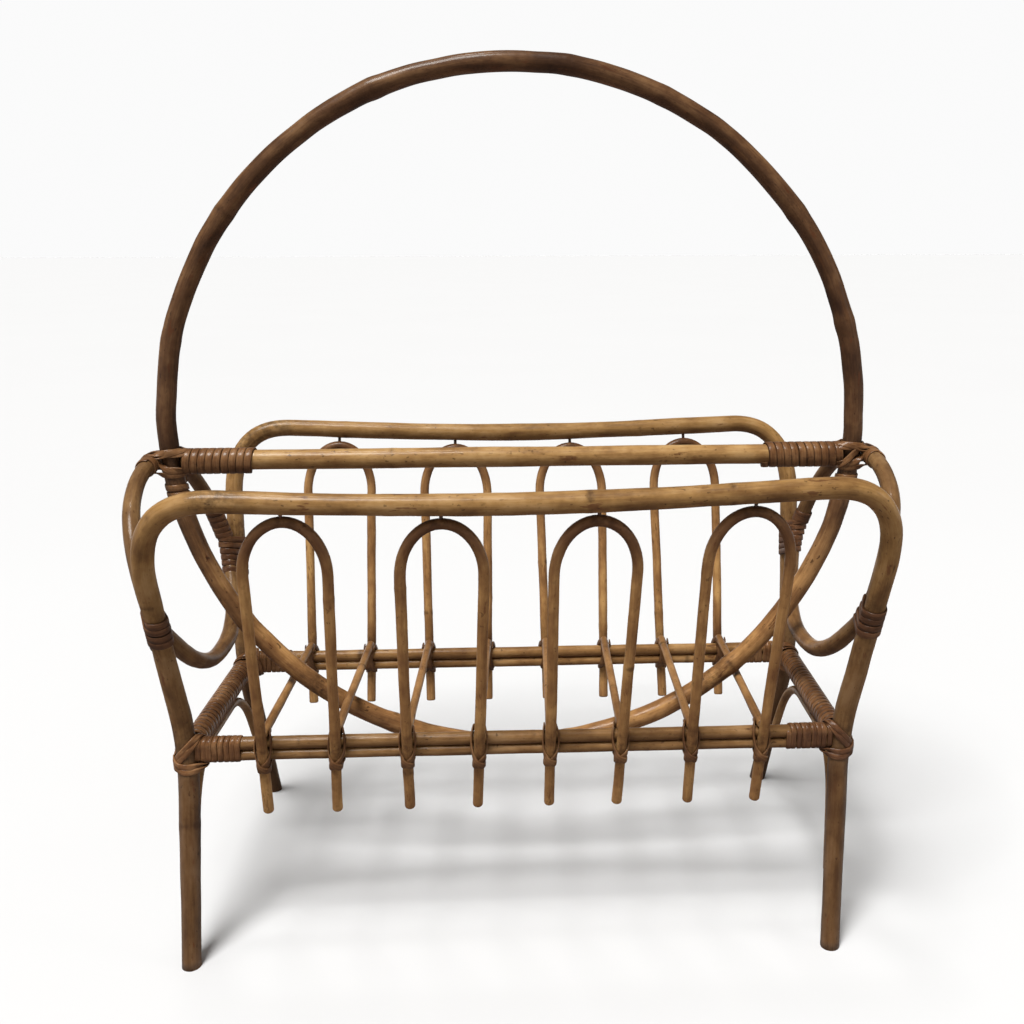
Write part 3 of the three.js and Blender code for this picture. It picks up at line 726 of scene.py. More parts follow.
class Workshop:
    """Makes every piece from the geometry trees, and hands it over to the frame."""

    spare = ("along", "around", "girth", "free", "facing", "aim")

    def __init__(self) -> None:
        """Build the trees and the finish of sawn ends."""
        self.pole_tree, self.cane_tree, self.nail_tree = pole_recipe(), cane_recipe(), nail_recipe()
        self.cut_end = CutEndFinish().build()
        self.made = 0

    def carve(self, name: str, recipe: GeometryRecipe, points: Sequence[Vector], carried: dict[str, list],
              inputs: Values, closed: bool = False) -> Piece:
        """Run a tree over a line of points and keep the result as a plain mesh.

        Args:
            name: The piece's name.
            recipe: The tree.
            points: The line's points, in millimetres.
            carried: Values or directions that the points carry.
            inputs: The tree's inputs by name.
            closed: Whether the line's end meets its start.

        Returns:
            The piece.
        """
        mesh = bpy.data.meshes.new(f"{name}_line")
        count = len(points)
        edges = [(i, (i + 1) % count) for i in range(count if closed else count - 1)]
        mesh.from_pydata([point * MM for point in points], edges, [])
        for key, rows in carried.items():
            if isinstance(rows[0], Vector):
                flat = [part for row in rows for part in row]
                mesh.attributes.new(key, "FLOAT_VECTOR", "POINT").data.foreach_set("vector", flat)
            else:
                mesh.attributes.new(key, "FLOAT", "POINT").data.foreach_set("value", rows)
        source = placed(f"{name}_line", mesh)
        modifier = source.modifiers.new("shape", "NODES")
        modifier.node_group = recipe.tree
        for label, value in inputs.items():
            modifier[recipe.identifiers[label]] = value
        graph = bpy.context.evaluated_depsgraph_get()
        result = bpy.data.meshes.new_from_object(source.evaluated_get(graph))
        bpy.data.objects.remove(source)
        return self.cleaned(name, result)

    def cleaned(self, name: str, mesh: bpy.types.Mesh) -> Piece:
        """Turn a mesh's faces outwards and flatten its end faces.

        Args:
            name: The piece's name.
            mesh: The mesh.

        Returns:
            The piece.
        """
        mesh.name = name
        volume = 0.0
        for face in mesh.polygons:
            first, *others = (mesh.vertices[i].co for i in face.vertices)
            volume += sum(first.dot(second.cross(third)) for second, third in zip(others, others[1:]))
        if volume < 0:
            mesh.flip_normals()
        # Each point's upward facing; the finishes use it to paint shade on faces that turn downwards.
        rise = [vertex.normal.z for vertex in mesh.vertices]
        mesh.attributes.new("up", "FLOAT", "POINT").data.foreach_set("value", rise)
        for face in mesh.polygons:
            face.use_smooth = len(face.vertices) <= 4
        for spare in self.spare:
            if spare in mesh.attributes:
                mesh.attributes.remove(mesh.attributes[spare])
        return placed(name, mesh)

    def hand_over(self, piece: Piece, slot: str, nodes: Sequence[str]) -> None:
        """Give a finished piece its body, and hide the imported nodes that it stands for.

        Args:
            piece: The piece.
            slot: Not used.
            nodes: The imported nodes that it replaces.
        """
        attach(piece, BODY)
        if nodes:
            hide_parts(*nodes)
        self.made += 1
        LOG.info("%s: %d faces", piece.name, len(piece.data.polygons))


def bell(distance: float, reach: float) -> float:
    """A soft bump: 1 at no distance, and next to nothing at twice the reach."""
    return math.exp(-(distance / reach) ** 2)


@dataclass(frozen=True)
class Growth:
    """How a kind of pole has grown and is made: its slot, the sides of its section and its unevenness."""

    slot: str
    sides: int
    wander: float
    spacing: float = 170.0
    swelling: float = 0.035
    worn: float = 1.2


@dataclass
class Pole:
    """One bent rattan pole or rod.

    Its girth swells a little at each node of the plant, and its ends are cut square with worn rims.
    """

    name: str
    line: Line
    radius: float
    material: Material
    growth: Growth
    seed: int
    knots: Sequence[float] = ()
    held: Sequence[Vector] = ()
    # Spots about which the pole is darkened: painted shade on the frame's top rail, and darker crowns on the
    # arches.
    soiled: Sequence[Vector] = ()
    foot_girth: float = 1.0
    standing: bool = False
    rims: tuple[float, ...] = (0.0, 0.15, 0.45, 1.0)
    rim_loss: float = 0.16
    foot_taper: float = 90.0
    foot_hold: float = 40.0
    hold_reach: float = 12.0
    soil_reach: float = 16.0
    scar_reach: float = 1.2

    def knot_places(self, length: float) -> list[float]:
        """Place the nodes of the plant.

        Args:
            length: The pole's length.

        Returns:
            How far along the pole each node lies.
        """
        if self.knots:
            return [share * length for share in self.knots]
        draw = random.Random(self.seed)
        places, at = [], draw.uniform(0.2, 0.9) * self.growth.spacing
        while at < length - 8:
            places.append(at)
            at += self.growth.spacing * draw.uniform(0.75, 1.25)
        return places

    def end_rims(self) -> list[Vector]:
        """Add close points at the two ends, so that the rims can be rounded.

        Returns:
            The line's points.
        """
        points = list(self.line.points)
        if self.line.closed:
            return points
        first, last = points[0], points[-1]
        ahead = (points[1] - first).normalized() * self.growth.worn
        behind = (points[-2] - last).normalized() * self.growth.worn
        if self.standing:
            first, last = first - ahead * 3, last - behind * 3
        return [*[first + ahead * rim for rim in self.rims], *points[1:-1],
                *[last + behind * rim for rim in self.rims[::-1]]]

    def carried(self, points: Sequence[Vector]) -> dict[str, list[float]]:
        """Work out what each point carries.

        Args:
            points: The line's points.

        Returns:
            The girth, the darkness of a node, the freedom to wander, and the soil: dirt at the joints and
            darkening about the darkened spots, for each point.
        """
        lengths = Line(list(points)).lengths()
        places = self.knot_places(lengths[-1])
        draw = random.Random(self.seed + 77)
        waves = [(draw.uniform(0.008, 0.05), draw.uniform(0, math.tau), draw.uniform(0.005, 0.016))
                 for _ in range(4)]
        marks = [(place, draw.uniform(0.3, 1.0)) for place in places]
        rows: dict[str, list[float]] = {"girth": [], "knot": [], "free": [], "soil": []}
        for point, length in zip(points, lengths):
            near, bold = min(((abs(length - place), mark) for place, mark in marks), default=(FAR, 0.0))
            swell = 1 + self.growth.swelling * bold * bell(near, self.radius * 0.75)
            swell += sum(depth * math.sin(length * pace * 2 + phase) for pace, phase, depth in waves)
            edge = min(length, lengths[-1] - length)
            if not self.line.closed:
                swell *= 1 - self.rim_loss * max(0.0, 1 - edge / self.growth.worn) ** 2
                swell *= 1 - (1 - self.foot_girth) * max(0.0, 1 - edge / self.foot_taper)
            held = min(((point - spot).length for spot in self.held), default=FAR)
            soiled = min(((point - spot).length * 1.8 for spot in self.soiled), default=FAR)
            close = edge if self.standing and edge < self.foot_hold else held
            rows["girth"].append(swell)
            rows["knot"].append(bold * (bell(near, self.scar_reach) + 0.35 * bell(near, self.radius * 1.3)))
            rows["free"].append(min(1.0, max(0.0, close / self.hold_reach - 1)))
            rows["soil"].append(bell(min(held, soiled), self.soil_reach))
        return rows

    def build(self, shop: Workshop) -> None:
        """Make the pole.

        Args:
            shop: The workshop.
        """
        points = self.end_rims()
        inputs = {"Radius": self.radius * MM, "Sides": self.growth.sides, "Wander": self.growth.wander * MM,
                  "Seed": float(self.seed), "Material": self.material}
        piece = shop.carve(f"{self.name}_pole", shop.pole_tree, points, self.carried(points), inputs,
                           self.line.closed)
        if self.standing:
            self.stood(piece.data)
        piece.data.materials.append(shop.cut_end)
        for face in piece.data.polygons:
            if len(face.vertices) > 4:
                face.material_index = 1
        shop.hand_over(piece, self.growth.slot, [self.name])

    @staticmethod
    def stood(mesh: bpy.types.Mesh) -> None:
        """Cut a pole's feet level with the floor.

        Args:
            mesh: The pole's mesh.
        """
        body = bmesh.new()
        body.from_mesh(mesh)
        parts = [*body.verts, *body.edges, *body.faces]
        cut = bmesh.ops.bisect_plane(body, geom=parts, plane_co=(0, 0, 0), plane_no=UP, clear_inner=True)
        rims = [part for part in cut["geom_cut"] if isinstance(part, bmesh.types.BMEdge)]
        for face in bmesh.ops.edgeloop_fill(body, edges=rims)["faces"]:
            face.smooth = False
        bmesh.ops.recalc_face_normals(body, faces=body.faces)
        body.to_mesh(mesh)
        body.free()


# Cane


@dataclass
class Station:
    """One point of a cane strip: where it lies, and which way it faces."""

    at: Vector
    out: Vector


@dataclass
class Axis:
    """A straight line with two directions square to it, about which cane is wound."""

    origin: Vector
    along: Vector
    u: Vector
    v: Vector

    @staticmethod
    def through(origin: Vector, along: Vector, u: Vector) -> Axis:
        """An axis through a point.

        Args:
            origin: The point.
            along: The axis's direction.
            u: The direction where a winding's angle is zero, about square to the axis.

        Returns:
            The axis.
        """
        way = along.normalized()
        square = (u - way * u.dot(way)).normalized()
        return Axis(origin, way, square, way.cross(square))

    def flat(self, point: Vector) -> Vector:
        """Where a point lies across the axis."""
        offset = point - self.origin
        return Vector((offset.dot(self.u), offset.dot(self.v)))

    def world(self, place: Vector, along: float) -> Vector:
        """A place across the axis and along it, as a point."""
        return self.origin + self.along * along + self.u * place.x + self.v * place.y


def cushioned(rows: list[Station], closed: bool, step: float = 1.1) -> list[Station]:
    """Space a strip's stations evenly and soften its corners.

    Args:
        rows: The stations.
        closed: Whether the strip's end meets its start.
        step: The spacing.

    Returns:
        The new stations.
    """
    out: list[Station] = []
    for before, after in zip(rows, rows[1:] + (rows[:1] if closed else [])):
        count = max(1, math.ceil((after.at - before.at).length / step))
        for share in (k / count for k in range(count)):
            facing = before.out.lerp(after.out, share).normalized()
            out.append(Station(before.at.lerp(after.at, share), facing))
    if not closed:
        out.append(rows[-1])
    for _ in range(2):
        smooth = []
        for index, row in enumerate(out):
            if not closed and index in (0, len(out) - 1):
                smooth.append(row)
                continue
            before, after = out[index - 1], out[(index + 1) % len(out)]
            way = (after.at - before.at).normalized()
            middle = before.out + after.out + row.out * 2
            smooth.append(Station(row.at, (middle - way * middle.dot(way)).normalized()))
        out = smooth
    return out


@dataclass(frozen=True)
class Cane:
    """The section of a cane, and how far it rises where it crosses another."""

    width: float
    thickness: float
    rise: float = 0.0


@dataclass
class Strip:
    """One length of split cane."""

    stations: list[Station]
    cane: Cane
    closed: bool = False

    def build(self, shop: Workshop, name: str, material: Material) -> Piece:
        """Make the strip.

        Args:
            shop: The workshop.
            name: The piece's name.
            material: The finish.

        Returns:
            The piece, not yet handed over.
        """
        rows = cushioned(self.stations, self.closed)
        inputs = {"Width": self.cane.width * MM, "Thickness": self.cane.thickness * MM, "Sides": 12,
                  "Material": material}
        carried = {"girth": [1.0] * len(rows), "facing": [row.out for row in rows]}
        return shop.carve(name, shop.cane_tree, [row.at for row in rows], carried, inputs, self.closed)


@dataclass
class Winding:
    """Cane wound tightly round one or more rods."""

    axis: Axis
    rods: Callable[[float], list[Circle]]
    start: float
    pitch: float
    turns: int
    phase: float
    hand: int
    seed: int
    loose: float
    lift: float = 0.08
    tuck: float = 1.3
    tuck_turns: float = 0.1

    def stations(self) -> list[Station]:
        """Lay the strip turn by turn, with the small unevenness of handwork.

        Returns:
            The stations.
        """
        draw = random.Random(self.seed)
        drift = [draw.uniform(-self.loose, self.loose) for _ in range(self.turns + 2)]
        rows = []
        for step in range(self.turns * TURN_STEPS + 1):
            turn = step / TURN_STEPS
            angle = self.phase + self.hand * math.tau * turn
            index = int(turn)
            share = turn - index
            uneven = drift[index] * (1 - share) + drift[index + 1] * share
            along = self.start + self.pitch * turn + uneven
            out = Vector((math.cos(angle), math.sin(angle)))
            centre, radius = max(self.rods(along), key=lambda rod: rod[0].dot(out) + rod[1])
            sunk = self.tuck * max(0.0, 1 - min(turn, self.turns - turn) / self.tuck_turns)
            rows.append(Station(self.axis.world(centre + out * (radius + self.lift - sunk), along),
                                self.axis.u * out.x + self.axis.v * out.y))
        return rows


@dataclass
class Rod:
    """A stretch of a pole, as straight runs, that cane is pulled round."""

    points: Sequence[Vector]
    radius: float

    def nearest(self, point: Vector) -> tuple[Vector, float]:
        """Look from a point to the rod.

        Args:
            point: The point.

        Returns:
            The direction away from the rod's middle line, and the distance to its surface.
        """
        best, foot = FAR, self.points[0]
        for start, end in zip(self.points, self.points[1:]):
            run = end - start
            share = min(1.0, max(0.0, (point - start).dot(run) / run.length_squared))
            spot = start + run * share
            gap = (point - spot).length
            if gap < best:
                best, foot = gap, spot
        return (point - foot).normalized(), best - self.radius


def pulled_tight(spots: list[Vector], rods: Sequence[Rod], hold: float, lift: float = 0.1) -> list[Station]:
    """Pull a loop of cane tight round rods, near where it was laid.

    Args:
        spots: The loop as laid, outside the rods.
        rods: The rods.
        hold: How firmly the cane keeps to where it was laid.
        lift: The gap under the cane.

    Returns:
        The stations.
    """
    rounds, tension, touching = 36, 0.62, 0.3
    laid = Line(spots, True).resampled(1.5).points
    points, count = list(laid), len(laid)
    for _ in range(rounds):
        drawn = []
        for index, point in enumerate(points):
            middle = (points[index - 1] + points[(index + 1) % count]) / 2
            place = point.lerp(middle, tension).lerp(laid[index], hold)
            for rod in rods:
                away, gap = rod.nearest(place)
                if gap < lift:
                    place = place + away * (lift - gap)
            drawn.append(place)
        points = drawn
    nearest = [min((rod.nearest(point) for rod in rods), key=lambda pair: pair[1]) for point in points]
    known = [index for index, (away, gap) in enumerate(nearest) if gap < lift + touching]
    rows = []
    for index, point in enumerate(points):
        before = max((k for k in known if k <= index), default=known[-1] - count)
        after = min((k for k in known if k >= index), default=known[0] + count)
        share = (index - before) / (after - before) if after > before else 0.0
        facing = nearest[before % count][0].lerp(nearest[after % count][0], share)
        rows.append(Station(point, facing.normalized()))
    return rows


def raised_over(rows: Sequence[Station], under: Sequence[Sequence[Station]], cane: Cane) -> list[Station]:
    """Lift a strip where it crosses other strips.

    Args:
        rows: The strip's stations.
        under: The strips that it passes over.
        cane: The strips' section.

    Returns:
        The lifted stations.
    """
    out = []
    for row in rows:
        rise = 0.0
        for other in under:
            near = min((row.at - spot.at).length for spot in other)
            rise = max(rise, 1 - max(0.0, near - cane.width * 0.45) / (cane.width * 0.6))
        ease = rise * rise * (3 - 2 * rise)
        out.append(Station(row.at + row.out * cane.rise * ease, row.out))
    return out


def knotted(paths: Sequence[list[Vector]], layers: Sequence[int], rods: Sequence[Rod], cane: Cane,
            hold: float = 0.025) -> list[Strip]:
    """Pull several loops of cane tight, each over some of the loops before it.

    Args:
        paths: The loops as laid.
        layers: How many of the loops each loop passes over, counted from the first.
        rods: The rods inside.
        cane: The cane's section.
        hold: How firmly the cane keeps to where it was laid.

    Returns:
        The strips.
    """
    loops = [pulled_tight(path, rods, hold) for path in paths]
    return [Strip(raised_over(loop, loops[:count], cane), cane, True) for loop, count in zip(loops, layers)]


def wrapped(run: list[Vector], radius: float, turns: int, hand: int, cane: Cane) -> Strip:
    """Wind cane round a bent pole.

    Args:
        run: The stretch of the pole's middle line that is covered.
        radius: The pole's radius.
        turns: How many turns.
        hand: 1 or -1, the way the cane goes round.
        cane: The cane's section.

    Returns:
        The strip.
    """
    points = Line(run).resampled(1.0).points
    rows, steps, lift, zero = [], turns * TURN_STEPS, 0.12, Vector((0.3, 0.2, 1))
    for step in range(steps + 1):
        place = step / steps * (len(points) - 1)
        index = min(int(place), len(points) - 2)
        way = points[index + 1] - points[index]
        around = Axis.through(points[index].lerp(points[index + 1], place - index), way, zero)
        angle = hand * math.tau * step / TURN_STEPS
        out = around.u * math.cos(angle) + around.v * math.sin(angle)
        rows.append(Station(around.origin + out * (radius + lift), out))
    return Strip(rows, cane)


# The rack


@dataclass(frozen=True)
class FaceSizes:
    """The sizes of one long side that differ from the other's, in millimetres."""

    face: Face
    foot_x: tuple[float, float]
    knee_x: tuple[float, float]
    corner_x: tuple[float, float]
    corner_z: tuple[float, float]
    rail_sway: float
    crown_sway: float
    tail: float
    # Where along X the top rail is darkened as painted shade.
    handled_x: tuple[float, float]
    knots: tuple[float, ...] = ()


FRONT = FaceSizes(Face.FRONT, foot_x=(-182.2, 172.8), knee_x=(-186.7, 184.3), corner_x=(-195.2, 198.8),
                  corner_z=(264.5, 268.5), rail_sway=-3.2, crown_sway=0.3, tail=38.5,
                  handled_x=(-155.0, -146.0),
                  knots=(0.085, 0.155, 0.238, 0.297, 0.425, 0.535, 0.612, 0.72, 0.8, 0.91))
REAR = FaceSizes(Face.REAR, foot_x=(-176.2, 178.8), knee_x=(-183.2, 187.8), corner_x=(-195.7, 195.3),
                 corner_z=(265.5, 265.5), rail_sway=0.8, crown_sway=-0.2, tail=30.0,
                 handled_x=(-200.0, -158.0))


@dataclass(frozen=True)
class RackSizes:
    """The sizes that all the rack's pieces share, in millimetres."""

    pole_radius: float = 5.75
    bar_radius: float = 6.0
    upper_radius: float = 3.5
    lower_radius: float = 3.0
    ring_radius: float = 4.75
    arch_radius: float = 3.0
    slat_radius: float = 2.5
    brace_radius: float = 2.75
    hoop_radius: float = 204.8
    hoop_height: float = 284.01
    bar_height: float = 263.01
    bar_half: float = 197.0
    foot_reach: float = 105.0
    knee_reach: float = 66.0
    seam_height: float = 110.5
    corner_reach: float = 116.6
    corner_height: float = 266.5
    rail_dip: float = 8.0
    rail_reach: float = 69.5
    upper_height: float = 114.15
    lower_height: float = 107.35
    side_height: float = 109.0
    slat_height: float = 120.45
    arch_pitch: float = 80.0
    arch_width: float = 43.5
    arch_rail_width: float = 40.2
    arch_crown: float = 30.0
    arch_reach: float = 77.2
    nail_gap: float = 2.5
    ring_crown_height: float = 262.01
    ring_height: float = 117.0
    ring_hip_drop: float = 72.0

    def hoop_span(self, height: float) -> float:
        """Half the hoop's width at a height."""
        return math.sqrt(self.hoop_radius ** 2 - (height - self.hoop_height) ** 2)

    def hoop_point(self, end: End, height: float) -> Vector:
        """The hoop's middle line at a height."""
        return Vector((end.value * self.hoop_span(height), 0, height))

    @property
    def lean(self) -> float:
        """How far the frames lean outwards, as an angle."""
        return math.atan((self.corner_reach - self.knee_reach) / (self.corner_height - self.seam_height))

    @property
    def hip_height(self) -> float:
        """Where a ring passes the legs."""
        return self.ring_crown_height - self.ring_hip_drop

    @property
    def rails(self) -> tuple[tuple[float, float], ...]:
        """The two lower rails' heights and radii."""
        return (self.upper_height, self.upper_radius), (self.lower_height, self.lower_radius)


class Palette:
    """The finishes of the rack's pieces, made once."""

    def __init__(self) -> None:
        """Make all the finishes."""
        self.pole = RattanFinish("rattan_pole", tone(112, 78, 44), tone(158, 122, 76),
                                 tone(182, 149, 102)).build()
        self.frame = RattanFinish("rattan_frame", tone(102, 71, 40), tone(146, 111, 67), tone(172, 138, 94),
                                  lower_tint=(0.74, 0.72, 0.8), lower_height=0.15,
                                  foot_tint=(0.46, 0.43, 0.45)).build()
        self.hoop = RattanFinish("rattan_hoop", tone(56, 35, 22), tone(90, 62, 40), tone(124, 92, 62), 0.7,
                                 lower_tint=(2.4, 2.5, 2.1), lower_height=0.13, upper_height=0.26).build()
        self.ring = RattanFinish("rattan_ring", tone(78, 53, 32), tone(110, 81, 51), tone(142, 111, 74),
                                 lower_tint=(1.4, 1.36, 1.3), lower_height=0.14, upper_height=0.19).build()
        self.rod = RattanFinish("rattan_rod", tone(94, 65, 38), tone(131, 97, 60), tone(162, 127, 88)).build()
        # Painted light: a lighter copy of the rod finish for the rear lower rails, as if lit from above.
        self.rear_rod = RattanFinish("rattan_rear_rod", tone(104, 72, 42), tone(148, 110, 67),
                                     tone(182, 145, 98)).build()
        # Painted shade: dark arch tones, as if shaded by the top rail above, lightened on the legs below
        # 0.212 m.
        self.arch = RattanFinish("rattan_arch", tone(80, 50, 31), tone(108, 74, 47), tone(136, 100, 66), 0.5,
                                 lower_tint=(2.2, 2.5, 2.2), lower_height=0.212, upper_height=0.244).build()
        self.slat = RattanFinish("rattan_slat", tone(104, 69, 38), tone(140, 102, 62),
                                 tone(166, 126, 82)).build()
        self.cane = CaneFinish("split_cane", tone(72, 44, 25), tone(104, 70, 42), tone(138, 102, 68)).build()
        self.fine_cane = CaneFinish("split_cane_fine", tone(76, 47, 27), tone(114, 77, 47),
                                    tone(150, 112, 76), 1.9 * MM).build()
        self.dark_cane = CaneFinish("split_cane_dark", tone(58, 35, 21), tone(92, 60, 38),
                                    tone(130, 93, 62)).build()
        self.nail = NailFinish().build()


@dataclass
class Assembly:
    """What every sub-assembly of the rack has: the workshop, the finishes and the shared sizes."""

    shop: Workshop
    palette: Palette
    sizes: RackSizes

    def lash(self, name: str, strips: Sequence[Strip], nodes: Sequence[str],
             material: Material | None = None) -> None:
        """Make one piece of several strips of cane, and hand it over.

        Args:
            name: The piece's name.
            strips: The strips.
            nodes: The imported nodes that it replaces.
            material: The finish, plain cane unless given.
        """
        finish = material or self.palette.cane
        parts = [strip.build(self.shop, f"{name}_{index}", finish) for index, strip in enumerate(strips)]
        if len(parts) > 1:
            with bpy.context.temp_override(active_object=parts[0], selected_editable_objects=parts):
                bpy.ops.object.join()
        parts[0].name = parts[0].data.name = name
        self.shop.hand_over(parts[0], "cane", nodes)


@dataclass
class Handle(Assembly):
    """The hoop, the straight bar across it, and the cane wound on the bar's ends."""

    hoop_steps: int = 432
    hoop_growth: Growth = Growth("pole", 22, 3.4, swelling=0.1)
    bar_growth: Growth = Growth("pole", 22, 0.8)
    hoop_knots: Sequence[float] = (0.055, 0.118, 0.205, 0.292, 0.336, 0.416, 0.472, 0.56, 0.655, 0.745,
                                   0.83, 0.92)
    bar_knots: Sequence[float] = (0.315, 0.59, 0.765)
    cane: Cane = Cane(4.62, 1.15)
    turns: int = 10
    pitch: float = 4.55
    end_gap: float = 1.0
    oval: float = 0.9
    phase: float = 2.2
    loose: float = 0.3
    lift: float = 0.35

    def hoop_line(self) -> Line:
        """Bend the hoop.

        Returns:
            Its middle line, starting under the left lashing.
        """
        s = self.sizes
        start = math.asin((s.bar_height - s.hoop_height) / s.hoop_radius)
        points = []
        for k in range(self.hoop_steps):
            angle = math.pi - start - math.tau * k / self.hoop_steps
            points.append(Vector((s.hoop_radius * math.cos(angle), 0.0,
                                  s.hoop_height + s.hoop_radius * math.sin(angle))))
        return Line(points, True)

    def build(self) -> None:
        """Make the handle's pieces."""
        s = self.sizes
        joints = [s.hoop_point(end, s.bar_height) for end in End]
        crossings = [s.hoop_point(end, s.slat_height) for end in End]
        bar = straight(*(Vector((end.value * s.bar_half, 0, s.bar_height)) for end in End))
        Pole("hoop", self.hoop_line(), s.pole_radius, self.palette.hoop, self.hoop_growth, 11,
             knots=self.hoop_knots, held=joints + crossings).build(self.shop)
        Pole("centre_bar", bar, s.bar_radius, self.palette.pole, self.bar_growth, 12,
             knots=self.bar_knots, held=joints).build(self.shop)
        for end in End:
            self.wind_bar(end)

    def wind_bar(self, end: End) -> None:
        """Wind an end of the bar, with one turn less on the left.

        Args:
            end: The bar's end.
        """
        s = self.sizes
        axis = Axis.through(Vector((0, 0, s.bar_height)), Vector((end.value, 0, 0)), UP)
        turns = self.turns - (end is End.LEFT)
        start = s.bar_half - self.end_gap - turns * self.pitch
        rods = [(CENTRE, s.bar_radius), (Vector((-self.oval, 0.0)), s.bar_radius)]
        winding = Winding(axis, lambda along: rods, start, self.pitch, turns, self.phase, end.value,
                          seed=20 + end.value, loose=self.loose, lift=self.lift)
        strips = [Strip(winding.stations(), self.cane)]
        self.lash(f"{end.label}_bar_cane", strips, [f"{end.label}_bar_winding"])


@dataclass
class Frame(Assembly):
    """One long side: the bent frame, its lower rails, four arches with their nails and their ties."""

    side: FaceSizes
    frame_growth: Growth = Growth("pole", 22, 1.6)
    rail_growth: Growth = Growth("rod", 16, 0.45, spacing=110, worn=0.6)
    arch_growth: Growth = Growth("rod", 16, 1.4, spacing=110, swelling=0.07, worn=0.9)
    arches: int = 4
    knee_bend: float = 25.0
    corner_bend: tuple[float, float] = (54.0, 42.0)
    rail_bend: float = 90.0
    rail_thickening: float = 1.06
    bow_steps: int = 32
    arch_step: float = 2.6
    leg_zone: tuple[float, float] = (82.0, 132.0)
    leg_reach: float = 14.0
    tie_sway: float = 0.5
    tie_drop: float = 0.7
    drop_height: float = 112.0
    slat_end: tuple[float, float] = (-9.0, 3.5)
    arch_cane: Cane = Cane(3.9, 0.95, 0.9)
    knot_cane: Cane = Cane(3.4, 1.0, 1.0)
    corner_turns: tuple[int, int] = (8, 9)
    corner_phase: float = 1.0
    corner_loose: float = 0.4
    corner_width: float = 3.3
    corner_thickness: float = 1.1
    corner_gaps: tuple[float, float] = (2.6, 2.0)
    leg_gap: float = 2.6
    post_heights: range = range(84, 140, 4)
    rail_run: tuple[float, float] = (5.0, 30.0)
    side_run: tuple[float, float] = (-5.0, -24.0)
    wound: float = 1.0
    nail_sink: float = 0.2
    # Above this height the top rail gets its painted shade.
    handled_height: float = 245.0
    foot_girth: float = 0.93
    shank: float = 1.0
    nail_length: float = 4.4
    nail_head: float = 1.9

    def __post_init__(self) -> None:
        """Work out the side's sign and the frame's middle line."""
        self.sign = self.side.face.value
        self.name = self.side.face.label
        self.line = self.frame_line()

    def frame_line(self) -> Line:
        """Bend the frame.

        Returns:
            Its middle line, from foot to foot.
        """
        s, f = self.sizes, self.side
        foot = [Vector((x, self.sign * s.foot_reach, 0)) for x in f.foot_x]
        knee = [Vector((x, self.sign * s.knee_reach, s.seam_height)) for x in f.knee_x]
        corner = [Vector((x, self.sign * s.corner_reach, z)) for x, z in zip(f.corner_x, f.corner_z)]
        middle = corner[0].lerp(corner[1], 0.5) - UP * s.rail_dip
        bend, sag, (before, after) = self.knee_bend, self.rail_bend, self.corner_bend
        corners = [(knee[0], bend, bend), (corner[0], before, after), (middle, sag, sag),
                   (corner[1], after, before), (knee[1], bend, bend)]
        return bent(foot[0], corners, foot[1])

    def leg(self, end: End, height: float) -> Vector:
        """Look along a leg.

        Args:
            end: The leg's end of the rack.
            height: The height.

        Returns:
            The point of the leg's middle line at the height.
        """
        points = self.line.points if end is End.LEFT else self.line.points[::-1]
        pairs = zip(points, points[1:])
        low, high = next((low, high) for low, high in pairs if low.z <= height <= high.z)
        return low.lerp(high, (height - low.z) / max(high.z - low.z, 1e-9))

    def top_height(self, x: float) -> float:
        """The height of the top rail's middle line."""
        near = [p for p in self.line.points if p.z > self.sizes.seam_height + 60]
        return min(near, key=lambda p: (abs(p.x - x), -p.z)).z

    def middle_of(self, index: int) -> float:
        """The middle of an arch along X, before its sway."""
        return self.sizes.arch_pitch * (index - 1.5)

    def crown_point(self, index: int) -> Vector:
        """Hang an arch under the top rail.

        Args:
            index: The arch's number, from the left.

        Returns:
            The top of its middle line.
        """
        s = self.sizes
        x = self.middle_of(index) + self.side.crown_sway
        drop = s.pole_radius + s.nail_gap + s.arch_radius
        reach = s.corner_reach - drop * math.sin(s.lean)
        return Vector((x, self.sign * reach, self.top_height(x) - drop * math.cos(s.lean)))

    def arch_point(self, index: int, aside: float, height: float) -> Vector:
        """A point of an arch's own leaning plane.

        Args:
            index: The arch's number.
            aside: How far the point lies from the arch's middle.
            height: Its height.

        Returns:
            The point.
        """
        s, f = self.sizes, self.side
        crown = self.crown_point(index)
        share = (height - s.seam_height) / (crown.z - s.seam_height)
        reach = s.arch_reach + (abs(crown.y) - s.arch_reach) * share
        middle = self.middle_of(index) + f.rail_sway + (f.crown_sway - f.rail_sway) * share
        return Vector((middle + aside, self.sign * reach, height))

    def arch_line(self, index: int) -> Line:
        """Bend an arch.

        Args:
            index: The arch's number.

        Returns:
            Its middle line, from leg end to leg end.
        """
        s = self.sizes
        shoulder = self.crown_point(index).z - s.arch_crown
        low = s.seam_height - self.side.tail
        share = (low - s.seam_height) / (shoulder - s.seam_height)
        half = (s.arch_rail_width + (s.arch_width - s.arch_rail_width) * share) / 2
        bow = []
        for k in range(self.bow_steps + 1):
            angle = math.pi * k / self.bow_steps
            bow.append(self.arch_point(index, -math.cos(angle) * s.arch_width / 2,
                                       shoulder + s.arch_crown * math.sin(angle)))
        start, end = (self.arch_point(index, way * half, low) for way in (-1, 1))
        return Line([start, *bow, end]).resampled(self.arch_step)

    def leg_places(self) -> list[float]:
        """Where the arches' legs cross the lower rails, along X."""
        middles = [self.middle_of(index) + self.side.rail_sway for index in range(self.arches)]
        return [middle + way * (self.sizes.arch_rail_width / 2) for middle in middles for way in (-1, 1)]

    def by_rail(self, x: float, depth: float, height: float) -> Vector:
        """A point further out than the lower rails by its depth."""
        return Vector((x, self.sign * (self.sizes.rail_reach + depth), height))

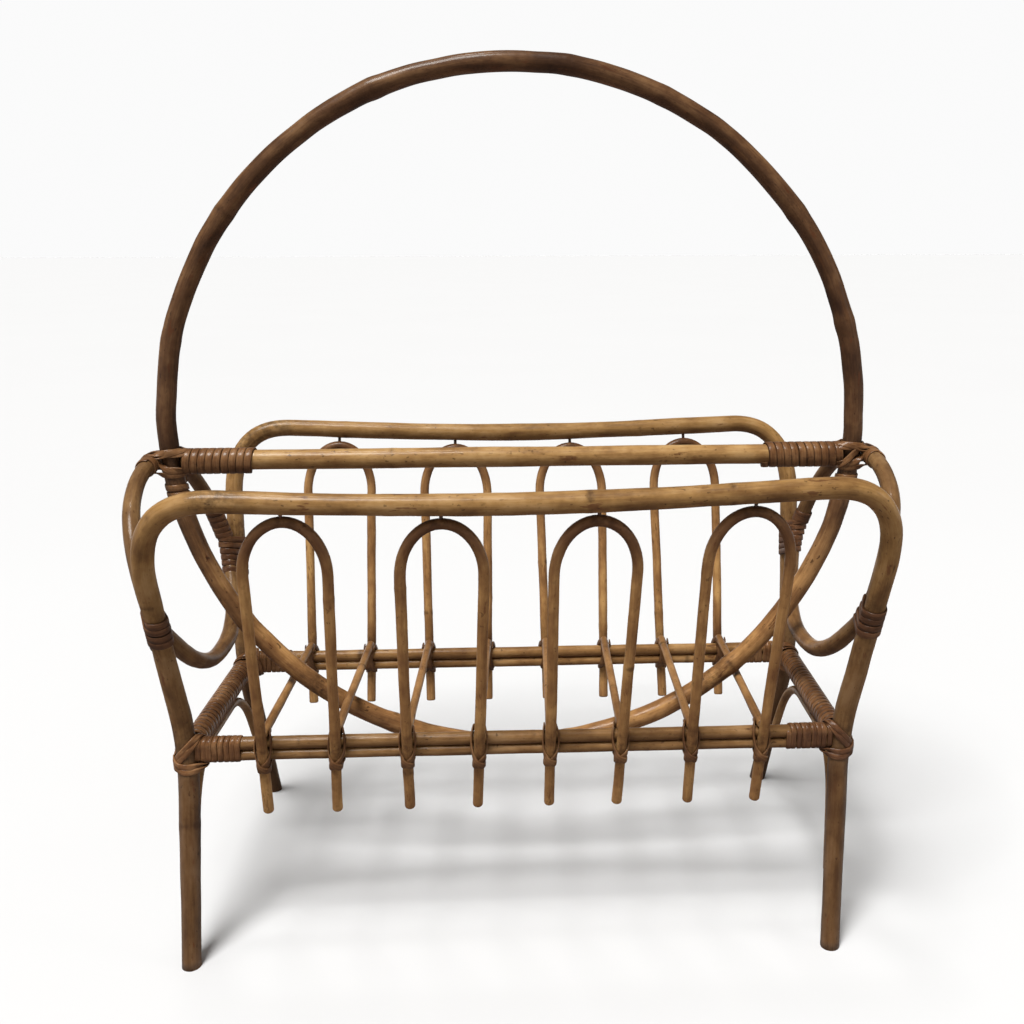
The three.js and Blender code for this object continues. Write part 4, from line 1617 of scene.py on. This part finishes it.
    def rail_rods(self, first: float, last: float, extra: float = 0.0) -> list[Rod]:
        """The two lower rails between two places along X, thicker by what cane lies on them."""
        return [Rod([self.by_rail(x, 0, z) for x in (first, last)], radius + extra)
                for z, radius in self.sizes.rails]

    def build(self) -> None:
        """Make the side's pieces."""
        s, f, shop = self.sizes, self.side, self.shop
        knees, hips = ([self.leg(end, height) for end in End] for height in (s.seam_height, s.hip_height))
        # Painted shade: the frame is darkened about its top-rail points near its left end.
        first, last = f.handled_x
        painted_shade_points = [point for point in self.line.points
                   if first < point.x < last and point.z > self.handled_height]
        Pole(f"{self.name}_frame", self.line, s.pole_radius, self.palette.frame, self.frame_growth,
             31 + self.sign, knots=f.knots, held=knees + hips, soiled=painted_shade_points,
             foot_girth=self.foot_girth, standing=True).build(shop)
        # The rear lower rails take the lighter copy of the rod finish, which is painted light.
        finish = self.palette.rod if f.face is Face.FRONT else self.palette.rear_rod
        for level, (_, radius), seed in zip(("upper", "lower"), s.rails, (41, 43)):
            name = f"{self.name}_{level}_rail"
            low, high = (Vector(corner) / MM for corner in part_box(name))
            middle = (low + high) / 2
            line = straight(*(Vector((x, middle.y, middle.z)) for x in (low.x, high.x)))
            radius *= self.rail_thickening
            Pole(name, line, radius, finish, self.rail_growth, seed + self.sign).build(shop)
        for index in range(self.arches):
            ties = [self.arch_point(index, way * s.arch_rail_width / 2, s.seam_height) for way in (-1, 1)]
            # Each arch is darker about its crown, just under the top rail.
            Pole(f"{self.name}_arch_{index + 1}", self.arch_line(index), s.arch_radius, self.palette.arch,
                 self.arch_growth, 51 + index + 9 * self.sign, held=ties,
                 soiled=[self.crown_point(index)]).build(shop)
        for index, x in enumerate(self.leg_places()):
            self.tie_arch(index, x)
        for end in End:
            self.wind_rails(end)
        self.drive_nails()

    def tie_arch(self, index: int, x: float) -> None:
        """Cross two loops of cane over an arch's leg, the rails and the end of a slat.

        Args:
            index: The leg's number, from the left.
            x: The leg's place.
        """
        s = self.sizes
        arch = self.arch_line(index // 2).points
        half = arch[:len(arch) // 2] if index % 2 == 0 else arch[len(arch) // 2:]
        low, high = self.leg_zone
        leg = Rod([p for p in half if low < p.z < high], s.arch_radius)
        slat = Rod([self.by_rail(x, depth, s.slat_height) for depth in self.slat_end], s.slat_radius)
        rods = [leg, *self.rail_rods(x - self.leg_reach, x + self.leg_reach), slat]
        sway = self.tie_sway * math.sin(index * 2.3 + self.sign)
        drop = self.tie_drop * math.sin(index * 1.7 + self.sign)
        route = ((-5.0, 4.2, 114.5), (-4.0, 6.0, 108.6), (-2.0, 10.4, 104.6), (0.2, 11.2, 102.4),
                 (3.2, 9.4, 100.4), (3.4, 6.0, 99.8), (2.4, 1.0, 102.2), (1.4, -3.6, 105.6),
                 (0.0, -4.2, 113.0), (-1.0, -4.0, 119.0), (-1.6, -2.4, 123.4), (-3.2, 1.4, 122.2),
                 (-4.6, 3.6, 117.6))
        limit = self.drop_height
        paths = [[self.by_rail(x + (way * aside + sway), depth, height + drop * (height < limit))
                  for aside, depth, height in route] for way in (-1, 1)]
        strips = knotted(paths, (0, 1), rods, self.arch_cane)
        self.lash(f"{self.name}_arch_lashing_{index + 1}", strips, [f"{self.name}_arch_tie_{index + 1}"])

    def wind_rails(self, end: End) -> None:
        """Wind the two lower rails beside a leg.

        Args:
            end: The leg's end of the rack.
        """
        s, name = self.sizes, f"{self.name}_{end.label}_corner"
        low, high = (Vector(corner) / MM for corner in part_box(f"{name}_winding"))
        right = end is End.RIGHT
        turns, gap = self.corner_turns[right], self.corner_gaps[right]
        inner = (low.x if right else -high.x) + gap
        outer = abs(self.leg(end, s.seam_height).x) - s.pole_radius + self.leg_gap
        pitch = (outer - inner - self.corner_width) / turns
        axis = Axis.through(self.by_rail(0, 0, s.seam_height), Vector((end.value, 0, 0)), UP)
        rods = [(axis.flat(self.by_rail(0, 0, z)), radius) for z, radius in s.rails]
        start = inner + self.corner_width / 2
        winding = Winding(axis, lambda along: rods, start, pitch, turns, self.corner_phase, end.value,
                          seed=60 + self.sign * 3 + end.value, loose=self.corner_loose)
        cane = Cane(pitch, self.corner_thickness)
        self.lash(f"{name}_cane", [Strip(winding.stations(), cane)], [f"{name}_winding"], self.dressing(end))

    def dressing(self, end: End) -> Material:
        """The finish of a corner's cane: the front right corner's has darkened with age."""
        dark = end is End.RIGHT and self.side.face is Face.FRONT
        return self.palette.dark_cane if dark else self.palette.fine_cane

    def knot_corner(self, end: End) -> None:
        """Lash a leg to the ends of the lower rails and the side rail.

        Args:
            end: The leg's end of the rack.
        """
        s, inward = self.sizes, -end.value
        leg = self.leg(end, s.seam_height)

        def spot(aside: float, depth: float, height: float) -> Vector:
            """A point by the leg: aside of it inwards, and further out by a depth."""
            return Vector((leg.x + inward * aside, self.sign * (abs(leg.y) + depth), height))

        post = Rod([self.leg(end, height) for height in self.post_heights], s.pole_radius)
        rails = self.rail_rods(*(leg.x + inward * aside for aside in self.rail_run), self.wound)
        side = Rod([spot(0, depth, s.side_height) for depth in self.side_run], s.pole_radius + self.wound)
        over = ((8.6, -3.0, 119.4), (7.4, 3.4, 119.2), (3.6, 6.4, 115.6), (-1.6, 6.6, 109.6),
                (-6.0, 3.0, 104.2), (-6.6, -2.0, 101.6), (-3.0, -6.6, 100.0), (3.4, -6.4, 100.2),
                (8.4, -5.2, 104.4), (9.4, -4.9, 112.0))
        under = ((10.4, 3.6, 103.4), (5.6, 5.6, 101.6), (0.0, 6.8, 100.6), (-5.2, 4.4, 102.4),
                 (-7.0, -1.0, 107.0), (-5.0, -6.4, 115.0), (0.6, -7.4, 117.6), (6.0, -5.6, 118.0),
                 (9.8, -5.0, 112.6), (11.0, -4.4, 105.0), (11.2, -1.0, 102.0))
        paths = [[spot(aside, depth, height + rise) for aside, depth, height in route]
                 for route, rise in ((over, -1.7), (over, 1.8), (under, 1.6), (under, -1.6))]
        strips = knotted(paths, (0, 0, 2, 2), [post, *rails, side], self.knot_cane)
        self.lash(f"{self.name}_{end.label}_corner_knot", strips, [], self.dressing(end))

    def drive_nails(self) -> None:
        """Drive a nail down through the top rail into each arch."""
        s = self.sizes
        lean = Vector((0, self.sign * math.sin(s.lean), math.cos(s.lean)))
        rise = s.arch_radius + s.nail_gap / 2 - self.nail_sink
        points = [self.crown_point(index) + lean * rise for index in range(self.arches)]
        inputs = {"Shank": self.shank * MM, "Length": self.nail_length * MM, "Head": self.nail_head * MM,
                  "Material": self.palette.nail}
        carried = {"aim": [lean] * self.arches}
        piece = self.shop.carve(f"{self.name}_nails", self.shop.nail_tree, points, carried, inputs)
        self.shop.hand_over(piece, "rod", [])


@dataclass(frozen=True)
class Binding:
    """How a ring is bound to a leg: turns, pitch and start, and how far up the ring alone is wound."""

    turns: int
    pitch: float
    start: float
    wrap: float = 0.0


@dataclass
class Ends(Assembly):
    """What joins the two sides at each end: side rail, ring, brace and their cane."""

    frames: Sequence[Frame]
    ring_growth: Growth = Growth("rod", 20, 1.1)
    rail_growth: Growth = Growth("rod", 20, 0.0, worn=0.6)
    brace_growth: Growth = Growth("rod", 14, 0.8, spacing=95)
    gap: float = 0.3
    ring_knots: Sequence[float] = (0.09, 0.27, 0.46, 0.64, 0.86)
    brace_half: float = 54.0
    brace_foot: float = 34.0
    brace_bend: float = 33.0
    brace_drop: float = 3.1
    side_turns: int = 25
    side_width: float = 3.9
    side_edge: float = 0.8
    side_share: float = 0.95
    side_thickness: float = 1.05
    side_loose: float = 0.55
    ring_gap: float = 0.35
    crown_gap: float = 0.9
    outsets: tuple[float, float] = (4.0, 1.5)
    front_binding: Binding = Binding(4, 4.2, -11.0)
    rear_bindings: tuple[Binding, Binding] = (Binding(6, 4.3, -24.0, 26.0), Binding(6, 3.9, -14.0, 9.0))
    ring_phases: tuple[float, float] = (0.6, 2.4)
    ring_loose: float = 0.3
    hip_half: float = 16.0
    ring_zone: float = 46.0
    wrap_gap: float = 2.0
    wrap_pitch: float = 4.6
    cover: tuple[float, float] = (5.4, 15.5)
    cover_turns: int = 3
    hoop_heights: range = range(225, 300, 5)
    crown_depth: float = 14.0
    bar_run: float = 26.0
    level_rises: tuple[float, float] = (4.4, -4.6)
    hold: float = 0.06
    under_gap: float = 12.5
    under_run: int = 10
    under_turns: int = 2
    ring_cane: Cane = Cane(4.1, 1.05)
    ring_wrap: Cane = Cane(4.3, 1.0)
    hoop_cane: Cane = Cane(3.8, 0.75, 0.6)
    hoop_wrap: Cane = Cane(3.9, 1.0)

    def side_end(self, frame: Frame, end: End) -> Vector:
        """Where a side rail meets a leg.

        Args:
            frame: The leg's side.
            end: The rail's end of the rack.

        Returns:
            The end of the rail's middle line.
        """
        s = self.sizes
        leg, knee = frame.leg(end, s.side_height), frame.leg(end, s.seam_height)
        return Vector((leg.x, knee.y - frame.sign * (s.pole_radius + self.gap), s.side_height))

    def ring_line(self, end: End) -> Line:
        """Bend a ring.

        Args:
            end: The ring's end of the rack.

        Returns:
            Its middle line, starting at its crown.
        """
        s = self.sizes
        hips = [frame.leg(end, s.hip_height) for frame in self.frames]
        outset = self.outsets[end is End.RIGHT]
        to_pole = s.pole_radius + s.ring_radius + self.ring_gap
        hip_reach = hips[1].y - math.sqrt(to_pole ** 2 - outset ** 2) / math.cos(s.lean)
        beyond = s.pole_radius + s.ring_radius + self.crown_gap
        crown_side = end.value * (s.hoop_span(s.ring_crown_height) + beyond)
        above = ((0, 0), (0.26, 0.015), (0.5, 0.06), (0.72, 0.14), (0.89, 0.27), (0.98, 0.43))
        below = ((0.8, 0.78), (0.585, 0.9), (0.3, 0.98), (0, 1))
        half = [(hip_reach * out, s.ring_height * down) for out, down in above]
        half.append((hip_reach, s.ring_hip_drop))
        half += [(hip_reach * out, s.ring_height * down) for out, down in below]
        spots = []
        for reach, drop in half + [(-reach, drop) for reach, drop in half[-2:0:-1]]:
            height = s.ring_crown_height - drop
            pole = hips[0].x + (hips[1].x - hips[0].x) * (reach / hip_reach + 1) / 2
            hip_side = pole + end.value * outset
            x = hip_side + (crown_side - hip_side) * (height - s.hip_height) / s.ring_hip_drop
            spots.append(Vector((x, reach, height)))
        return round_spline(spots)

    def brace_line(self, end: End) -> Line:
        """Bend a brace.

        Args:
            end: The brace's end of the rack.

        Returns:
            Its middle line, from leg to leg under the side rail.
        """
        s = self.sizes
        ends = [self.side_end(frame, end) for frame in self.frames]
        middle = (ends[0] + ends[1]) / 2
        top = s.side_height - (s.pole_radius + self.brace_drop) - s.brace_radius
        lean = math.atan((s.foot_reach - s.knee_reach) / s.seam_height)
        apart = (s.pole_radius + s.brace_radius + self.gap) / math.cos(lean)
        corners, feet = [], []
        for frame, side in zip(self.frames, ends):
            place = middle.lerp(side, self.brace_half / abs(side.y))
            corners.append((Vector((place.x, place.y, top)), self.brace_bend, self.brace_bend))
            leg = frame.leg(end, self.brace_foot)
            feet.append(Vector((leg.x, leg.y - frame.sign * apart, self.brace_foot)))
        return bent(feet[0], corners, feet[1])

    def build(self) -> None:
        """Make both ends."""
        s, shop = self.sizes, self.shop
        for end in End:
            ring = self.ring_line(end)
            held = [s.hoop_point(end, s.bar_height), *(frame.leg(end, s.hip_height) for frame in self.frames)]
            Pole(f"{end.label}_end_ring", ring, s.ring_radius, self.palette.ring, self.ring_growth,
                 71 + end.value, knots=self.ring_knots, held=held).build(shop)
            rail = [self.side_end(frame, end) for frame in self.frames]
            Pole(f"{end.label}_side_rail", straight(*rail), s.pole_radius, self.palette.rod, self.rail_growth,
                 75 + end.value).build(shop)
            Pole(f"{end.label}_leg_brace", self.brace_line(end), s.brace_radius, self.palette.rod,
                 self.brace_growth, 78 + end.value).build(shop)
            self.wind_side(end, rail)
            self.lash_hoop(end, ring)
            for frame in self.frames:
                self.tie_ring(frame, end, ring)
                frame.knot_corner(end)

    def wind_side(self, end: End, rail: Sequence[Vector]) -> None:
        """Wind the whole side rail.

        Args:
            end: The rail's end of the rack.
            rail: The two ends of its middle line.
        """
        s = self.sizes
        pitch = ((rail[1] - rail[0]).length - self.side_width - 2 * self.side_edge) / self.side_turns
        axis = Axis.through(rail[0], rail[1] - rail[0], UP)
        start = self.side_width / 2 + self.side_edge
        rods = [(CENTRE, s.pole_radius)]
        winding = Winding(axis, lambda along: rods, start, pitch, self.side_turns, math.pi, end.value,
                          seed=80 + end.value, loose=self.side_loose)
        strips = [Strip(winding.stations(), Cane(pitch * self.side_share, self.side_thickness))]
        self.lash(f"{end.label}_side_cane", strips, [f"{end.label}_side_winding"], self.palette.fine_cane)

    def tie_ring(self, frame: Frame, end: End, ring: Line) -> None:
        """Bind a ring to a leg where the two run side by side.

        Args:
            frame: The leg's side.
            end: The ring's end of the rack.
            ring: The ring's middle line.
        """
        s, hip = self.sizes, self.sizes.hip_height
        rear = frame.side.face is Face.REAR
        binding = self.rear_bindings[end is End.RIGHT] if rear else self.front_binding
        base, above, below = (frame.leg(end, hip + rise) for rise in (0, self.hip_half, -self.hip_half))
        axis = Axis.through(base, above - below, Vector((end.value, 0, 0)))
        rows = sorted(((point - base).dot(axis.along), axis.flat(point)) for point in ring.points
                      if point.y * frame.sign > 0 and abs(point.z - hip) < self.ring_zone)

        def both(along: float) -> list[Circle]:
            """Cut the leg and the ring across.

            Args:
                along: The place along the axis.

            Returns:
                The two circles.
            """
            beside = rows[0][1] if along < rows[0][0] else rows[-1][1]
            for (low, before), (high, after) in zip(rows, rows[1:]):
                if low <= along <= high:
                    beside = before.lerp(after, (along - low) / max(high - low, 1e-9))
                    break
            return [(CENTRE, s.pole_radius), (beside, s.ring_radius)]

        phase = self.ring_phases[end is End.RIGHT]
        winding = Winding(axis, both, binding.start, binding.pitch, binding.turns, phase, end.value,
                          seed=90 + 4 * frame.sign + end.value, loose=self.ring_loose)
        strips = [Strip(winding.stations(), self.ring_cane)]
        if binding.wrap:
            top = hip + (binding.start + binding.turns * binding.pitch)
            low, high = top + self.wrap_gap, top + binding.wrap
            run = sorted((p for p in ring.points if p.y > 0 and low <= p.z <= high), key=lambda p: p.z)
            wraps = max(3, round(Line(run).lengths()[-1] / self.wrap_pitch))
            strips.append(wrapped(run, s.ring_radius, wraps, end.value, self.ring_wrap))
        name = f"{frame.name}_{end.label}_ring"
        self.lash(f"{name}_cane", strips, [f"{name}_tie"], self.palette.dark_cane)

    def lash_hoop(self, end: End, ring: Line) -> None:
        """Lash the hoop to the end of the bar and to the ring's crown.

        Args:
            end: The end of the rack.
            ring: The ring's middle line.
        """
        s, sign = self.sizes, end.value
        reach = s.hoop_span(s.bar_height)
        hoop = Rod([s.hoop_point(end, z) for z in self.hoop_heights], s.pole_radius)
        low = s.ring_crown_height - self.crown_depth
        near = sorted((p for p in ring.points if p.z > low), key=lambda p: p.y)
        ends = s.bar_half - self.bar_run, s.bar_half
        bar = Rod([Vector((sign * x, 0, s.bar_height)) for x in ends], s.bar_radius)
        rods = [hoop, Rod(near, s.ring_radius), bar]
        rising = ((16.8, 0.0, -2.2), (15.0, -5.0, -1.4), (9.0, -6.6, -0.6), (5.2, -6.2, 2.4),
                  (2.0, -6.4, 5.0), (-3.0, -6.2, 6.0), (-10.5, -3.0, 5.6), (-10.5, 3.0, 5.6),
                  (-2.0, 6.4, 6.0), (8.0, 7.0, 2.0), (15.0, 5.0, -1.0))
        falling = ((16.8, 0.0, 1.4), (15.0, -5.0, 0.6), (9.0, -6.6, -0.2), (5.4, -6.2, -2.4),
                   (2.2, -6.4, -5.0), (-3.0, -6.2, -6.2), (-10.5, -3.0, -5.8), (-10.5, 3.0, -5.8),
                   (-2.0, 6.4, -6.2), (8.0, 7.0, -2.4), (15.0, 5.0, 0.6))
        fan = ((16.9, 0.0, 0.8), (15.4, -5.0, 1.6), (10.0, -6.6, 2.4), (6.4, -6.2, 4.0), (4.4, -6.2, 5.4),
               (1.0, -6.4, 6.2), (-9.8, -3.0, 5.8), (-9.8, 3.0, 5.8), (0.0, 6.7, 6.0), (8.0, 7.0, 2.6),
               (15.0, 5.0, 1.6))
        drop = ((16.9, 0.0, -2.8), (15.4, -5.0, -3.2), (10.0, -6.6, -4.2), (6.4, -6.2, -6.0),
                (3.0, -6.4, -8.0), (-5.0, -4.0, -8.6), (-9.4, 0.0, -6.4), (-5.0, 4.0, -8.6),
                (0.0, 6.9, -8.0), (8.0, 7.0, -5.0), (15.0, 5.0, -3.2))
        level = ((6.2, 0.0, 0.0), (3.0, -6.0, 0.0), (-4.0, -6.6, 0.0), (-9.0, -6.0, 0.0), (-12.0, -2.0, 0.0),
                 (-12.0, 2.0, 0.0), (-9.0, 6.0, 0.0), (-4.0, 6.6, 0.0), (3.0, 6.0, 0.0))
        slanted = ((4.6, -5.6, 5.6), (0.0, -7.0, 1.0), (-5.0, -7.4, -4.4), (-8.0, -5.0, -7.8),
                   (-7.2, 3.0, -8.4), (-1.0, 7.0, -3.0), (5.0, 6.4, 4.4), (6.6, 0.0, 6.4))
        slants = (rising, falling, fan, drop, slanted) if end is End.RIGHT else (rising, falling, fan, drop)
        plans = [*((level, rise) for rise in self.level_rises), *((route, 0.0) for route in slants)]
        paths = [[Vector((sign * (reach + aside), y, s.bar_height + (height + rise)))
                  for aside, y, height in route] for route, rise in plans]
        strips = knotted(paths, (0, 0, 2, 3, 4, 5, 6), rods, self.hoop_cane, self.hold)
        first, last = self.cover
        for way in (-1, 1):
            cover = [p for p in near if first < p.y * way < last]
            strips.append(wrapped(cover, s.ring_radius, self.cover_turns, sign, self.hoop_wrap))
        under = [s.hoop_point(end, s.bar_height - self.under_gap - step) for step in range(self.under_run)]
        strips.append(wrapped(under, s.pole_radius, self.under_turns, sign, self.hoop_wrap))
        self.lash(f"{end.label}_hoop_lashing", strips, [f"{end.label}_hoop_tie"])


@dataclass
class Floor(Assembly):
    """The slats that lie across the lower rails."""

    frames: Sequence[Frame]
    growth: Growth = Growth("floor_bar", 14, 0.5, spacing=70, swelling=0.07, worn=0.7)
    gap: float = 0.3

    def build(self) -> None:
        """Make the slats."""
        s = self.sizes
        reach = s.arch_reach - s.arch_radius - self.gap
        for index, (x, far) in enumerate(zip(*(frame.leg_places() for frame in self.frames))):
            line = straight(Vector((x, -reach, s.slat_height)), Vector((far, reach, s.slat_height)))
            Pole(f"floor_bar_{index + 1}", line, s.slat_radius, self.palette.slat, self.growth,
                 100 + index).build(self.shop)


# The studio


class LampKind(Enum):
    """The two kinds of lamp; the value is the property that takes its size."""

    SUN = "angle"
    AREA = "size"


@dataclass(frozen=True)
class Lamp:
    """One soft lamp: a sun with its spread in radians, or a square panel with its width in metres."""

    name: str
    kind: LampKind
    power: float
    size: float
    target: Tone
    place: Tone = (0.0, 0.0, 0.0)
    colour: Tone = (1.0, 0.94, 0.86)

    def hang(self) -> None:
        """Hang the lamp."""
        data = bpy.data.lights.new(self.name, self.kind.name)
        data.energy, data.color = self.power, self.colour
        if self.kind is LampKind.AREA:
            data.shape = "SQUARE"
        setattr(data, self.kind.value, self.size)
        lamp = placed(self.name, data)
        lamp.location = self.place
        aim = Vector(self.target) - Vector(self.place)
        lamp.rotation_euler = aim.to_track_quat("-Z", "Y").to_euler()


@dataclass(frozen=True)
class Studio:
    """The pale floor, the soft light and the camera of the photograph's view."""

    position: Tone = (-11.0 * MM, -679.7 * MM, 387.0 * MM)
    pitch: float = math.radians(11.61)
    yaw: float = math.radians(2.763)
    roll: float = math.radians(-0.167)
    sensor: float = 36.0
    focal_share: float = 1150 / 1024
    shift: tuple[float, float] = (-40 / 1024, -30 / 1024)
    clip: tuple[float, float] = (0.01, 100.0)
    floor_half: float = 45.0
    sunlight: Tone = (1.0, 0.985, 0.95)
    sky: Tone = (1.0, 0.96, 0.9)
    sky_strength: float = 0.2
    backdrop_strength: float = 0.962

    def build(self) -> None:
        """Set up the whole studio."""
        bpy.context.scene.view_settings.view_transform = "Standard"
        self.add_camera()
        self.add_floor()
        self.add_sky()
        sun, panel = LampKind.SUN, LampKind.AREA
        for lamp in (Lamp("soft_top_light", sun, 4.45, math.radians(26), (0.28, 0.4, -1.0),
                          colour=self.sunlight),
                     Lamp("overhead_light", sun, 0.45, math.radians(9), (0.12, -0.14, -1.0),
                          colour=self.sunlight),
                     Lamp("left_lamp", panel, 1.2, 0.5, (-0.2, 0, 0.22), (-1.3, -0.3, 0.45)),
                     Lamp("right_lamp", panel, 1.6, 0.4, (0.2, 0, 0.2), (1.4, -0.5, 0.6))):
            lamp.hang()

    def add_camera(self) -> None:
        """Put the camera where the photograph was taken from."""
        data = bpy.data.cameras.new("camera")
        data.sensor_width, data.lens = self.sensor, self.sensor * self.focal_share
        data.shift_x, data.shift_y = self.shift
        data.clip_start, data.clip_end = self.clip
        camera = placed("camera", data)
        level = math.cos(self.pitch)
        forward = Vector((math.sin(self.yaw) * level, math.cos(self.yaw) * level, -math.sin(self.pitch)))
        right = forward.cross(UP).normalized()
        turned = Matrix((right, right.cross(forward), -forward)).transposed().to_4x4()
        camera.matrix_world = Matrix.Translation(self.position) @ turned @ Matrix.Rotation(self.roll, 4, "Z")
        bpy.context.scene.camera = camera

    def add_floor(self) -> None:
        """Lay the floor."""
        mesh = bpy.data.meshes.new("studio_floor")
        half = self.floor_half
        mesh.from_pydata([(-half, -half, 0), (half, -half, 0), (half, half, 0), (-half, half, 0)], [],
                         [(0, 1, 2, 3)])
        mesh.materials.append(FloorFinish().build())
        floor = placed("studio_floor", mesh)

    def add_sky(self) -> None:
        """Light the rack with a dim sky, and show the camera a pale one."""
        world = bpy.data.worlds.new("studio")
        world.use_nodes = True
        recipe = Recipe(world.node_tree)
        recipe.tree.nodes.clear()
        kind = "ShaderNodeBackground"
        dim = recipe.wire(kind, {}, {"Color": (*self.sky, 1.0), "Strength": self.sky_strength})
        pale = recipe.wire(kind, {}, {"Color": (1.0, 1.0, 1.0, 1.0), "Strength": self.backdrop_strength})
        seen = recipe.wire("ShaderNodeLightPath", output="Is Camera Ray")
        both = recipe.wire("ShaderNodeMixShader", {}, {0: seen, 1: dim, 2: pale})
        recipe.add("ShaderNodeOutputWorld", {}, {"Surface": both})
        bpy.context.scene.world = world


def main() -> None:
    """Load the frame, build the rack and the studio, and report each piece."""
    logging.basicConfig(level=logging.INFO, format="%(name)s %(message)s")
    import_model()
    shop, palette, sizes = Workshop(), Palette(), RackSizes()
    Handle(shop, palette, sizes).build()
    frames = [Frame(shop, palette, sizes, side) for side in (FRONT, REAR)]
    for frame in frames:
        frame.build()
    Floor(shop, palette, sizes, frames).build()
    Ends(shop, palette, sizes, frames).build()
    Studio().build()
    LOG.info("%d pieces made", shop.made)


if __name__ == "__main__":
    main()
